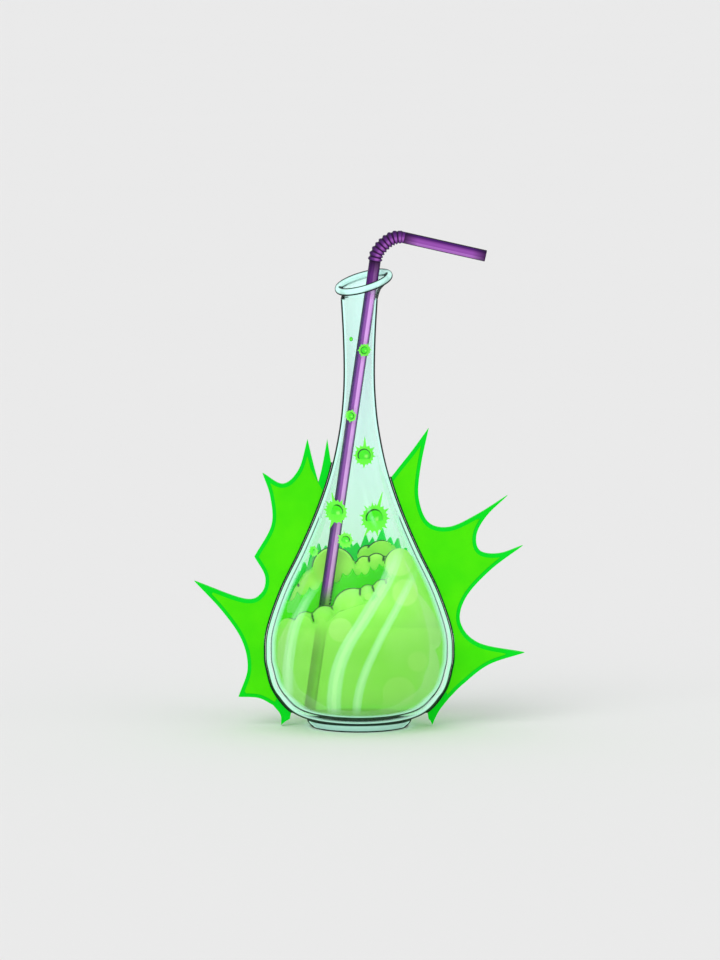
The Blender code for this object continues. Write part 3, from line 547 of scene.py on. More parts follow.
def edge_start(curvature, width):
    """Facing past which a form with this radius of curvature gets its painted shade line, for a line of
    one width.
    """
    share = 1.0 - width / np.maximum(curvature, 1.2 * width)
    return 1.0 - np.sqrt(1.0 - share ** 2)


# Stores where the painted shade lines fall: the facing that starts them, and the fixed dark lines.
def store_edges(obj, curvature, ink=0.0, width=LINE_WIDTH, skipped=0.0):
    attribute(obj, "edge_start", np.maximum(edge_start(curvature, width), 2.0 * skipped))
    attribute(obj, "ink", ink + np.zeros(len(curvature)))


def potion_finish():
    """Cloudy green liquid, clear enough low down to show the straw, with painted shade in the hollows and
    lines of the front foam and a painted glow.
    """
    c = colours()
    f = Finish("green_potion_look")
    base = f.mix(f.step(f.noise(38.0, 4.0), 0.35, 0.72), c.potion, c.potion_deep)
    base = f.mix(f.times(disc_mask(f), 0.55), base, (0.50, 0.88, 0.22))
    height = f.dot((0, 0, 1))
    base = f.mix(f.times(f.step(height, 0.030, 0.006), 0.5), base, (0.42, 0.90, 0.18))
    # Painted shade in the hollows between puffs.
    base = f.mix(f.times(f.stored("hollow"), 0.3), base, c.foam_shade)
    # Painted shade lines between puffs and at their edges.
    base = f.mix(f.lines(), base, c.crease_shade)
    normal = f.bump(f.noise(420.0, 2.0), 0.10, 0.1 * MM)
    solid = f.plus(0.42, f.times(f.step(height, 0.036, 0.060), 0.58))
    solid = f.most(solid, f.lines())
    # Painted glow: a faint emission though the potion is no lamp.
    pane = f.principled(Base_Color=base, Roughness=0.4, Normal=normal, Specular_IOR_Level=0.2,
                        Emission_Color=base, Emission_Strength=0.09)
    clear = f.node("ShaderNodeBsdfTransparent", {"Color": (0.62, 0.97, 0.35)}).outputs[0]
    return f.finish(f.node("ShaderNodeMixShader", {0: solid, 1: clear, 2: pane}).outputs[0])


def foam_finish():
    """Satin foam with tiny bubbles, with painted shade between its puffs and at their edges and a painted
    glow.
    """
    c = colours()
    f = Finish("potion_foam_look")
    bubbles = f.node("ShaderNodeTexVoronoi", {"Vector": f.place(), "Scale": 900.0},
                     feature="F1").outputs["Distance"]
    base = f.mix(f.step(f.noise(60.0, 3.0), 0.35, 0.75), c.foam, (0.34, 0.83, 0.07))
    # Painted shade in the hollows between puffs.
    base = f.mix(f.times(f.stored("hollow"), 0.5), base, c.foam_shade)
    # Painted shade lines between puffs and at their edges.
    base = f.mix(f.lines(), base, c.crease_shade)
    normal = f.bump(bubbles, 0.12, 0.2 * MM)
    # Painted glow: a faint emission though the foam is no lamp.
    return f.finish(f.principled(Base_Color=base, Roughness=0.6, Normal=normal,
                                 Specular_IOR_Level=0.2, Emission_Color=base,
                                 Emission_Strength=0.13))


def gloss_finish(name, base, second, roughness, grain=250.0, depth=0.1, painted_glow=0.0):
    """Moulded resin with faint clouding and a fine skin."""
    f = Finish(name)
    tint = f.mix(f.step(f.noise(grain * 0.3, 3.0), 0.3, 0.75), base, second)
    normal = f.bump(f.noise(grain * 4, 2.0), depth, 0.12 * MM)
    rough = f.plus(roughness, f.times(f.noise(grain, 2.0), 0.12))
    # Painted glow: a set emission makes the piece glow though it is no lamp.
    return f.finish(f.principled(Base_Color=tint, Roughness=rough, Normal=normal,
                                 Specular_IOR_Level=0.08, Emission_Color=tuple(base),
                                 Emission_Strength=painted_glow))


def splat_finish():
    """Lime film, lighter towards its tips and darker, as painted shade, where it meets its bead; with a
    painted glow.
    """
    c = colours()
    f = Finish("splat_film_look")
    away = f.stored("away")
    # Painted shade: the film is darker near its bead and lighter towards its tips.
    base = f.mix(f.step(away, 0.25, 0.8), c.film, (0.20, 0.95, 0.05))
    base = f.mix(f.times(f.noise(700.0, 2.0), 0.15), base, (0.05, 0.6, 0.0))
    # Painted glow: a faint emission though the film is no lamp.
    return f.finish(f.principled(Base_Color=base, Roughness=0.4, Specular_IOR_Level=0.08,
                                 Emission_Color=base, Emission_Strength=0.10,
                                 Normal=f.bump(f.noise(500.0, 2.0), 0.1, 0.1 * MM)))


def bead_finish():
    """Glossy drop with a painted highlight on its crown, a dark rim of painted shade and a painted glow.
    """
    c = colours()
    f = Finish("splat_bead_look")
    away = f.stored("away")
    # Painted highlight: a small light spot on the drop's crown.
    base = f.mix(f.stored("light"), c.bead, c.bead_highlight)
    # Painted shade: a dark rim round the drop.
    base = f.mix(f.step(away, 0.80, 0.90), base, (0.004, 0.07, 0.002))
    base = f.mix(f.times(f.noise(900.0, 2.0), 0.1), base, (0.03, 0.5, 0.0))
    # Painted glow: a faint emission though the drop is no lamp.
    return f.finish(f.principled(Base_Color=base, Roughness=0.3, Specular_IOR_Level=0.08,
                                 Emission_Color=base, Emission_Strength=0.10))


def straw_finish(name, stops, stained, painted_glow=0.10):
    """Painted light and shade in bands across the straw, with dark edges; stained green where it stands
    in the potion.
    """
    c = colours()
    f = Finish(name)
    # Painted light and shade: the stops run across the straw from one edge to the other.
    ramp = f.node("ShaderNodeValToRGB")
    band = f.plus(f.times(f.stored("band"), 0.5), 0.5)
    f.feed(ramp.inputs[0], band)
    for k, (at, tone) in enumerate(stops):
        stop = ramp.color_ramp.elements[k] if k < 2 else ramp.color_ramp.elements.new(at)
        stop.position, stop.color = at, (*tone, 1.0)
    base = ramp.outputs[0]
    if stained:
        height = f.dot((0, 0, 1))
        base = f.mix(f.times(f.step(height, 0.192, 0.200), 0.75), base, (0.085, 0.015, 0.14))
        # Painted shade across the soaked part: a dark side, a lighter side and dotted dark edges.
        soaked = f.mix(f.step(band, 0.35, 0.7), (0.02, 0.10, 0.01), (0.20, 0.40, 0.08))
        rim = f.math("ABSOLUTE", f.minus(band, 0.5))
        dots = f.step(f.math("SINE", f.times(height, 4200.0)), -0.5, 0.0)
        soaked = f.mix(f.times(f.step(rim, 0.33, 0.37), dots), soaked, (0.0, 0.0, 0.0))
        base = f.mix(f.step(height, 0.066, 0.056), base, soaked)
    # Painted shade inside the bore, at the ends and in the bellows' valleys.
    base = f.mix(f.stored("ink"), base, (0.012, 0.002, 0.02))
    base = f.mix(f.times(f.noise(350.0, 3.0), 0.10), base, c.straw_shade_and_mottle)
    lines = f.node("ShaderNodeTexNoise", {"Vector": f.place(), "Scale": 1500.0}).outputs["Fac"]
    # Painted glow: a faint emission though the straw is no lamp.
    return f.finish(f.principled(Base_Color=base, Roughness=0.35, Specular_IOR_Level=0.10,
                                 Emission_Color=base, Emission_Strength=painted_glow,
                                 Normal=f.bump(lines, 0.05, 0.05 * MM)))


# ================================================================ glass
def make_flask():
    s = sizes()
    outer = outer_run()
    inner = inner_run()
    brim = s.neck_z - 0.3 * MM
    inner.insert(-1, (inner[-1][0], brim))
    outer.insert(-1, (outer[-1][0], brim))
    cage = spun(inner + outer[::-1], GLASS_SEGMENTS)
    look = glass_finish("clear_glass_look", 0.015, 0.33, bulb_with_painted_glares=True)
    obj = finished("glass_flask", cage, [look], "flask", ["flask_body"])
    at = positions(obj)
    away = np.hypot(at[:, 0], at[:, 1])
    inside = away < run_radius(outer, at[:, 2]) - 0.25 * MM
    curvature = np.where(at[:, 2] < 16 * MM, np.minimum(away, 26 * MM), away)
    fade = np.clip((at[:, 2] - 90 * MM) / (12 * MM), 0, 1) * inside
    open_end = at[:, 2] > s.neck_z - 0.1 * MM
    store_edges(obj, curvature, skipped=np.maximum(fade, open_end),
                width=(0.55 + 0.25 * np.clip((at[:, 2] - 90 * MM) / (40 * MM), 0, 1)) * MM)


def make_foot():
    s = sizes()
    seat = offset_run(outer_run(), [s.gap] * len(outer_run()))
    top_z = float(np.interp(s.foot_top, [p[0] for p in seat if p[1] < s.widest_z],
                            [p[1] for p in seat if p[1] < s.widest_z]))
    top = [p for p in seat if p[0] < s.foot_top - 0.1 * MM and p[1] < s.widest_z]
    side = catmull([(s.foot_top, top_z),
                    (s.foot_top - 0.28 * (s.foot_top - s.foot_base), 0.55 * top_z),
                    (s.foot_base + 0.6 * MM, 0.14 * top_z), (s.foot_base, 0.0)], 10)
    cage = spun(top + side + [(0.0, 0.0)], GLASS_SEGMENTS)
    obj = finished("glass_foot", cage, [glass_finish("foot_glass_look", 0.62, 0.62)], "flask",
                   ["flask_foot"], sharp=50.0)
    at = positions(obj)
    away = np.hypot(at[:, 0], at[:, 1])
    # Painted shade lines at the foot's bottom rim on the desk and where it meets the bulb.
    low = np.clip((0.75 * MM - at[:, 2]) / (0.2 * MM), 0, 1) * (away > s.foot_base - 0.1 * MM)
    high = np.clip(1.9 - np.hypot(away - s.foot_top, at[:, 2] - top_z) / (0.32 * MM), 0, 1)
    store_edges(obj, away, np.maximum(low, high))


def make_lip():
    s = sizes()
    foot = Vector((0.0, 0.0, s.neck_z))
    crown = Vector((s.lip_x, 0.0, s.lip_z))

    def place(share, lift=0.0):
        turn = (Matrix.Rotation(-s.lip_tilt_side * share, 4, "Y")
                @ Matrix.Rotation(s.lip_tilt_front * share, 4, "X"))
        return Matrix.Translation(foot.lerp(crown, share)) @ turn @ Matrix.Translation((0, 0, lift))

    bore = s.neck_radius - s.wall_mouth
    seam = 0.05 * MM
    profile = [(s.neck_radius, 0.0, seam), (s.neck_radius + 0.1 * MM, 0.2, 0.0),
               (s.neck_radius + 0.55 * MM, 0.45, 0.0)]
    for degrees in range(ROLL_FIRST, ROLL_LAST + 1, ROLL_STEP):
        a = math.radians(degrees)
        profile.append((s.lip_radius + s.lip_half_width * math.cos(a), 1.0,
                        s.lip_half_height * math.sin(a)))
    profile += [(bore + 0.4 * MM, 0.45, 0.0), (bore + 0.1 * MM, 0.2, 0.0), (bore, 0.0, seam)]
    cage = spun([(radius, k * MM) for k, (radius, _, _) in enumerate(profile)], GLASS_SEGMENTS,
                closed=True)
    for vert in cage.verts:
        _, share, lift = profile[round(vert.co.z / MM)]
        vert.co = place(share, lift) @ Vector((vert.co.x, vert.co.y, 0.0))
    obj = finished("glass_lip", cage, [glass_finish("lip_glass_look", 0.015, 0.40)], "flask",
                   ["flask_lip"], sharp=60.0)
    turn = np.array(place(1.0).to_3x3())
    local = (positions(obj) - np.array(place(1.0).to_translation())) @ turn
    normals = np.array([v.normal[:] for v in obj.data.vertices]) @ turn
    sight = np.array((0.0, math.cos(LIP_SIGHT_RISE), -math.sin(LIP_SIGHT_RISE))) @ turn
    ways = local[:, :2] / np.linalg.norm(local[:, :2], axis=1)[:, None]
    out = np.hypot(local[:, 0], local[:, 1]) - s.lip_radius
    angle = np.degrees(np.arctan2(local[:, 2] / s.lip_half_height, out / s.lip_half_width))
    ends = (np.abs(angle - ROLL_FIRST) < 3) | (np.abs(angle - ROLL_LAST + 360) < 3)
    rolled = (np.hypot(out, local[:, 2]) < 1.04 * s.lip_half_height) & ~ends
    slope = np.sqrt((ways @ sight[:2]) ** 2 + sight[2] ** 2)
    # Painted shade lines on the lip where it turns edge on to a fixed front sight line, and at the sides
    # of its collar.
    drawn = np.clip((0.82 - np.abs(normals @ sight) / slope) / 0.12, 0, 1) * rolled
    sides = np.clip((0.44 - np.abs(normals @ sight)) / 0.06, 0, 1) * (np.abs(ways[:, 0]) > 0.85)
    attribute(obj, "ink", np.maximum(drawn, sides * ~rolled))
    attribute(obj, "edge_start", np.full(len(local), 2.0))
    attribute(obj, "milk", rolled * 0.66)


# ================================================================ potion and foam
FRONT_BED = ((-44, 44.3), (-42, 45), (-31, 47.5), (-22, 50), (-14, 51.5), (-9, 56), (0, 59),
             (8, 61), (13, 65), (15, 74), (22, 77), (30, 76), (40, 62), (46, 44.3))
FRONT_PUFFS = ((-31.5, -19, 45.2, 6.0), (-24.0, -19, 49.2, 5.0), (-15.2, -19, 50.5, 6.5),
               (-2.6, -19, 55.5, 9.5), (3.9, -19, 62.3, 4.0), (10.4, -19, 64.1, 4.6),
               (14.6, -18, 66.1, 3.6), (18.2, -17, 75.4, 7.1), (24.0, -15, 72.4, 6.5))
BACK_BED = ((-38, 44.3), (-33, 57), (-28, 60), (-24, 63), (-17, 69), (-10, 73), (0, 71),
            (6, 72), (14, 73), (22, 72), (30, 60), (38, 44.3))
BACK_PUFFS = ((-28.6, 7, 60.4, 3.2), (-19.2, 9, 61.6, 8.9), (-11.6, 8.5, 70.6, 9.9),
              (2.4, 8, 72.4, 4.0), (7.8, 8, 73.3, 4.4), (12.8, 8, 72.0, 4.4), (20.0, 7, 69.0, 6.0))
CREST_BED = ((-26, 44.3), (-22, 60), (-12, 66), (0, 71), (10, 76), (20, 74), (26, 44.3))
CREST_PUFFS = ((10.2, 16.2, 75.2, 7.4), (3.6, 16.8, 75.6, 4.6), (16.4, 15.4, 76.4, 4.4),
               (20.4, 14.4, 76.0, 3.9), (-8.0, 16.5, 62.0, 7.5))
SURGE_CUSPS = ((-38.5, 54), (-33, 58), (-28, 61), (-22.5, 63), (-17, 65.5), (-11.5, 66), (-7.5, 70),
               (-3, 72), (1, 70), (5, 72.5), (9, 74), (13, 76), (18, 75), (24, 74), (30, 67), (36, 55))
CROWN_EDGE = ((-36, 58), (-33.5, 64), (-32.5, 61.5), (-31, 67), (-29.5, 63), (-28, 70), (-27, 67),
              (-25.5, 74), (-24, 69), (-22, 78), (-20.8, 73.5), (-18.8, 81.5), (-17.5, 76),
              (-15.5, 80), (-14.5, 76.5), (-11.5, 87), (-10, 80), (-8.5, 83), (-7.2, 78.5), (-4.5, 83),
              (-3, 79), (-1, 81), (0.5, 78.5), (3, 85.5), (4.5, 80.5), (6.2, 83.5), (7.6, 80.5),
              (10.8, 88), (12.6, 81), (14.5, 84), (16, 79.5), (18, 84), (19.5, 77), (21.5, 80),
              (22.6, 74.5), (24.8, 77), (26.5, 70.5), (28.5, 72), (30, 66.5), (32, 66.5), (36, 56))


def hanging_lobes(cusps, sag, steps=7):
    """An edge of upward cusps with a round hollow between each two."""
    run = []
    for (x0, z0), (x1, z1) in zip(cusps, cusps[1:]):
        for k in range(steps):
            t = k / steps
            run.append((x0 + (x1 - x0) * t, z0 + (z1 - z0) * t - sag * math.sin(math.pi * t) ** 0.7))
    return run + [cusps[-1]]


def solid_from(cage, name):
    bmesh.ops.remove_doubles(cage, verts=cage.verts, dist=1e-7)
    bmesh.ops.recalc_face_normals(cage, faces=cage.faces)
    return linked(name, mesh_from(cage, name))


def joined(cage, voxel, rooms):
    """One skin round everything in a bmesh, from a fine grid, then cut to what lies in the rooms."""
    obj = solid_from(cage, "puffs")
    remesh = obj.modifiers.new("Skin", "REMESH")
    remesh.mode = "VOXEL"
    remesh.voxel_size = voxel
    calm = obj.modifiers.new("Calm", "SMOOTH")
    calm.factor = 0.5
    calm.iterations = 3
    for room in rooms:
        cut = obj.modifiers.new("Cut", "BOOLEAN")
        cut.operation = "INTERSECT"
        cut.solver = "MANIFOLD"
        cut.object = room
    bpy.context.view_layer.update()
    skin = bpy.data.meshes.new_from_object(obj.evaluated_get(bpy.context.evaluated_depsgraph_get()))
    for made in [obj] + rooms:
        bpy.data.objects.remove(made, do_unlink=True)
    out = bmesh.new()
    out.from_mesh(skin)
    bpy.data.meshes.remove(skin)
    return out


def make_bank(name, bed, puffs, low_y, high_y, extra, look, nodes, filled=False, ridge=0.0):
    """A bank of foam: puffs on a bed, joined and kept in its layer, or with the potion if filled."""
    s = sizes()
    wall = inner_run(s.gap + extra)
    reach = s.bulb_radius * 1.1
    near, far = max(low_y, -reach), min(high_y, reach)
    cage = plate(bmesh.new(), metres(bed), near, far)
    stretch = np.array([max(ridge / p[3], 1.0) for p in puffs])
    for (x, y, z, radius), depth in zip(puffs, stretch):
        place = Matrix.Translation((x * MM, y * MM, z * MM)) @ Matrix.Diagonal((1, depth, 1, 1))
        bmesh.ops.create_icosphere(cage, subdivisions=4, radius=radius * MM, matrix=place)
    if filled:
        level = s.potion_z + 0.8 * MM
        plate(cage, [(-reach, 0.0), (reach, 0.0), (reach, level), (-reach, level)], -reach, reach)
        bmesh.ops.recalc_face_normals(cage, faces=cage.faces)
    top = s.widest_z + 0.5 * (s.waist_z - s.widest_z)
    room = spun([(0.0, top), (float(run_radius(wall, top)), top)]
                + [p for p in wall if p[1] < top - 1e-5][::-1], GLASS_SEGMENTS)
    rooms = [solid_from(room, "room")]
    if not filled:
        low_z = s.potion_z + s.gap
        layer = [(-reach, low_z), (reach, low_z), (reach, s.waist_z), (-reach, s.waist_z)]
        rooms.append(solid_from(plate(bmesh.new(), layer, near, far), "layer"))
    skin = joined(cage, s.voxel, rooms)
    obj = finished(name, skin, [look], "flask", nodes, sharp=40.0, normals=False)
    at = positions(obj)
    limit = run_radius(wall, at[:, 2])
    away = np.hypot(at[:, 0], at[:, 1])
    depth = np.array([np.linalg.norm((at - np.array(p[:3]) * MM) / (1.0, k, 1.0), axis=1) - p[3] * MM
                      for p, k in zip(puffs, stretch)])
    order = np.sort(depth, axis=0)
    between = order[1] - order[0]
    on_puff = np.clip(2.0 - order[0] / MM, 0, 1)
    free = np.clip((limit - away) / (0.5 * MM), 0, 1)
    flat = (np.abs(at[:, 1] - near) < 0.3 * MM) | (np.abs(at[:, 1] - far) < 0.3 * MM)
    free = np.where(flat, 0.0, free)
    if filled:
        free = np.where(at[:, 2] < s.potion_z + MM, 0.0, free)
    two = np.array(puffs)[np.argsort(depth, axis=0)[:2]] * MM
    upper = np.clip((at[:, 2] - two[:, :, 2].max(axis=0)) / MM, 0, 1)
    line = np.clip(1.9 - between / (0.42 * MM), 0, 1) * upper
    # Painted shade lines where two puffs meet, on their upper parts.
    attribute(obj, "crease_shade", np.clip(line * 1.2, 0, 1) * on_puff * free)
    bare = 1.0 - np.clip(1.5 * upper * on_puff * free, 0, 1)
    curvature = two[0][:, 3] * stretch[np.argmin(depth, axis=0)] ** 2
    # Painted shade lines at the puffs' edges start past this facing, only on their free upper parts.
    attribute(obj, "edge_start", edge_start(curvature, LINE_WIDTH) + bare)
    # Painted shade in the hollows between puffs.
    attribute(obj, "hollow", np.clip(1.0 - between / (3.0 * MM), 0, 1) * 0.6 * on_puff)


def sliced(cage, pitch):
    """Cuts a flat face into strips both ways, so that it can follow the glass."""
    xs, zs = [v.co.x for v in cage.verts], [v.co.z for v in cage.verts]
    for axis, low, high in ((0, min(xs), max(xs)), (2, min(zs), max(zs))):
        normal = Vector((1.0, 0.0, 0.0)) if axis == 0 else Vector((0.0, 0.0, 1.0))
        for k in range(1, int((high - low) / pitch) + 1):
            bmesh.ops.bisect_plane(cage, geom=cage.verts[:] + cage.edges[:] + cage.faces[:],
                                   dist=1e-7, plane_co=normal * (low + k * pitch), plane_no=normal)


def on_wall(name, outline, side, extra, thickness, pitch, look, nodes, centre=None):
    """A flat outline laid on the inside of the glass, on its front or its back, and thickened."""
    wall = inner_run(extra)
    cage = bmesh.new()
    made = bmesh.ops.create_circle(cage, cap_ends=True, radius=1.0, segments=len(outline))
    for vert, (x, z) in zip(made["verts"], outline):
        vert.co = (x, 0.0, z)
    sliced(cage, pitch)
    bmesh.ops.triangulate(cage, faces=cage.faces)
    radii = run_radius(wall, [v.co.z for v in cage.verts])
    for vert, radius in zip(cage.verts, radii):
        x = max(min(vert.co.x, 0.995 * radius), -0.995 * radius)
        vert.co = (x, side * math.sqrt(radius * radius - x * x), vert.co.z)
    grown = bmesh.ops.extrude_face_region(cage, geom=cage.faces[:])
    for vert in [g for g in grown["geom"] if isinstance(g, bmesh.types.BMVert)]:
        level = Vector((vert.co.x, vert.co.y, 0.0))
        vert.co -= level.normalized() * thickness
    obj = finished(name, cage, [look], "flask", nodes, sharp=50.0)
    if centre:
        at = positions(obj)
        reach = max(math.hypot(x - centre[0], z - centre[1]) for x, z in outline)
        attribute(obj, "away", np.hypot(at[:, 0] - centre[0], at[:, 2] - centre[1]) / reach)


def make_contents():
    c = colours()
    layer = 4.4 * MM
    make_bank("potion_and_front_foam", FRONT_BED, FRONT_PUFFS, -1.0, -layer, 0.0, potion_finish(),
              ["potion", "foam_front"], filled=True, ridge=FRONT_RIDGE)
    foam = foam_finish()
    make_bank("foam_bank_back", BACK_BED, BACK_PUFFS, layer, 13.2 * MM, WALL_INSET, foam,
              ["foam_back"])
    make_bank("foam_bank_crest", CREST_BED, CREST_PUFFS, 13.5 * MM, 1.0, WALL_INSET, foam,
              ["foam_crest"])
    # The surge is a real wave of potion; its saturated green is painted shade under the back foam, with a
    # painted glow.
    surge = gloss_finish("shaded_potion_look", c.surge, (0.09, 0.76, 0.005), 0.35, painted_glow=0.08)
    wave = [(-38, 44.3)] + hanging_lobes(SURGE_CUSPS, 3.0) + [(38, 44.3)]
    make_bank("shaded_surge", wave, ((0.0, 2.0, 60.0, 1.0), (5.0, 2.0, 60.0, 1.0)), 0.6 * MM,
              4.1 * MM, 0.0, surge, ["potion_surge"])
    # Painted glow: the emerald splash glows faintly though it is no lamp.
    crown = gloss_finish("emerald_splash_look", c.crown, (0.0, 0.66, 0.10), 0.3, painted_glow=0.18)
    edge = metres([(-36, 44.4), *CROWN_EDGE, (36, 44.4)])
    on_wall("emerald_crown", edge, 1, 1.5 * MM, 1.1 * MM, 2.0 * MM, crown,
            ["splash_crown"])


# ================================================================ splats
SPLATS = (
    ("a", -3.8, 175.6, 1.0, 0.0, ()),
    ("b", 2.4, 170.6, 1.7, 2.5, ((0, 3.2), (60, 3.3), (120, 3.2), (180, 3.2), (240, 3.3), (300, 3.2))),
    ("c", -3.9, 141.0, 1.6, 2.2, ((15, 2.9), (75, 3.0), (140, 2.8), (200, 2.8), (262, 3.0), (320, 2.9))),
    ("d", 2.3, 123.6, 3.0, 4.0, ((88, 8.2), (35, 5.6), (-8, 5.2), (-50, 5.2), (-92, 6.0), (-135, 5.2),
                                 (180, 5.2), (135, 5.8))),
    ("e", -10.4, 98.5, 3.4, 4.4, ((105, 8.2), (62, 6.2), (20, 5.4), (-22, 5.4), (-62, 5.4), (-112, 8.0),
                                  (-150, 6.0), (178, 6.0), (142, 6.0))),
    ("f", 7.0, 96.0, 4.2, 5.4, ((72, 11.5), (30, 7.4), (-5, 7.0), (-40, 7.4), (-80, 8.0), (-122, 9.4),
                                (-155, 7.0), (168, 7.2), (130, 7.6), (100, 7.2))),
    ("g", -6.2, 86.6, 2.0, 2.9, ((0, 3.8), (50, 4.0), (100, 3.8), (150, 4.0), (200, 3.8), (250, 4.0),
                                 (305, 3.9))),
    ("h", -20.6, 80.6, 1.1, 1.7, ((20, 2.4), (80, 2.5), (140, 2.4), (200, 2.5), (260, 2.4), (320, 2.5))),
)


def star_outline(x, z, radius, spikes, steps=6):
    order = sorted((math.radians(a) % (2 * math.pi), reach) for a, reach in spikes)
    outline = []
    ring = order + [(order[0][0] + 2 * math.pi, order[0][1])]
    for (a0, low), (a1, high) in zip(ring, ring[1:]):
        order.append((0.5 * (a0 + a1), radius + 0.45 * (min(low, high) - radius)))
    order.sort()
    for (a0, tip), (a1, next_tip) in zip(order, order[1:] + [(order[0][0] + 2 * math.pi, order[0][1])]):
        valley = 0.5 * (a0 + a1)
        for k in range(steps):
            share = k / steps
            outline.append((a0 + (valley - a0) * share, radius + (tip - radius) * (1 - share) ** 2))
        for k in range(steps):
            share = k / steps
            outline.append((valley + (a1 - valley) * share, radius + (next_tip - radius) * share ** 2))
    return [((x + r * math.cos(a)) * MM, (z + r * math.sin(a)) * MM) for a, r in outline]


def make_splats():
    s = sizes()
    film, bead_look = splat_finish(), bead_finish()
    wall = inner_run(s.gap)
    for name, x, z, bead, star, spikes in SPLATS:
        if spikes:
            on_wall(f"splat_{name}", star_outline(x, z, star, spikes), -1, s.gap + 0.45 * MM, 0.4 * MM,
                    1.1 * MM, film, [f"splat_star_{name}"], centre=(x * MM, z * MM))
        thickness = min(1.5, 0.5 * bead) * MM
        radius = float(run_radius(wall, z * MM))
        out = Vector((x * MM, -math.sqrt(radius ** 2 - (x * MM) ** 2), 0.0))
        centre = out - out.normalized() * 0.5 * thickness + Vector((0.0, 0.0, z * MM))
        turn = out.normalized().to_track_quat("Z", "Y").to_matrix().to_4x4()
        place = (Matrix.Translation(centre) @ turn
                 @ Matrix.Diagonal((bead * MM, bead * MM, 0.5 * thickness, 1.0)))
        cage = bmesh.new()
        bmesh.ops.create_uvsphere(cage, u_segments=40, v_segments=24, radius=1.0, matrix=place)
        obj = finished(f"drop_{name}", cage, [bead_look], "flask",
                       [f"splat_bead_{name}"])
        at = positions(obj)
        dx, dz = (at[:, 0] - x * MM) / (bead * MM), (at[:, 2] - z * MM) / (bead * MM)
        attribute(obj, "away", np.hypot(dx, dz))
        # Painted highlight: a small spot right of and below the drop's middle, on its front only.
        light = np.hypot(dx - 0.28, dz + 0.12)
        attribute(obj, "light", np.clip(1.5 - 4.2 * light, 0, 1) * (at[:, 1] < centre.y))


# ================================================================ straw
BEND_STEPS = (13.0, 12.0, 8.0, 5.0, 7.0, 11.0, 14.0, 13.0, 11.4)
STRAW_END = (-22.490, 0.0, 7.148)
STRAW_TOP_X = 7.0012 * MM


def heading_vector(heading):
    return Vector((math.sin(heading), 0.0, math.cos(heading)))


def straw_place(point, heading):
    return Matrix.Translation(point) @ Matrix.Rotation(heading, 4, "Y")


def hinge_line():
    """The hinges of the bellows and the heading of each fold, with the arm's last."""
    s = sizes()
    heading, point = s.straw_lean, Vector((STRAW_TOP_X, 0.0, s.straw_top_z))
    hinges, headings = [point.copy()], [heading]
    for turn in BEND_STEPS:
        point = point + s.fold_pitch * heading_vector(heading)
        heading += math.radians(turn)
        hinges.append(point.copy())
        headings.append(heading)
    return hinges, headings


def store_band(obj, frames):
    """Stores how far across the straw each point lies; gives the points and how far along they lie."""
    at = positions(obj)
    starts = np.array([tuple(point) for point, _ in frames])
    across = np.array([(math.cos(h), 0.0, -math.sin(h)) for _, h in frames])
    along = np.array([tuple(heading_vector(h)) for _, h in frames])
    nearest = np.argmin(np.linalg.norm(at[:, None, :] - starts[None], axis=2), axis=1)
    offset = at - starts[nearest]
    radius = sizes().straw_radius
    attribute(obj, "band", np.clip(np.einsum("ij,ij->i", offset, across[nearest]) / radius, -1.2, 1.2))
    return at, np.einsum("ij,ij->i", offset, along[nearest])


def make_tube(name, start, heading, low, high, look, body, nodes):
    s = sizes()
    bore = s.straw_radius - s.straw_wall
    lip = 0.12 * MM
    profile = [(bore, low), (s.straw_radius - lip, low), (s.straw_radius, low + lip)]
    count = max(int((high - low) / (6 * MM)), 2)
    profile += [(s.straw_radius, low + (high - low) * k / count) for k in range(1, count)]
    profile += [(s.straw_radius, high - lip), (s.straw_radius - lip, high), (bore, high)]
    profile += [(bore, high + (low - high) * k / count) for k in range(1, count)]
    cage = spun(profile, STRAW_SEGMENTS, closed=True)
    bmesh.ops.transform(cage, matrix=straw_place(start, heading), verts=cage.verts)
    obj = finished(name, cage, [look], body, nodes)
    at, along = store_band(obj, [(start, heading)])
    inside = np.linalg.norm(at - np.array(start) - along[:, None] * np.array(heading_vector(heading)),
                            axis=1) < s.straw_radius - 0.6 * s.straw_wall
    ends = (along > high - 0.2 * MM) | (along < low + 0.2 * MM)
    # Painted shade inside the bore and dark rims at the straw's ends.
    attribute(obj, "ink", np.where(inside | ends, 0.9, 0.0))


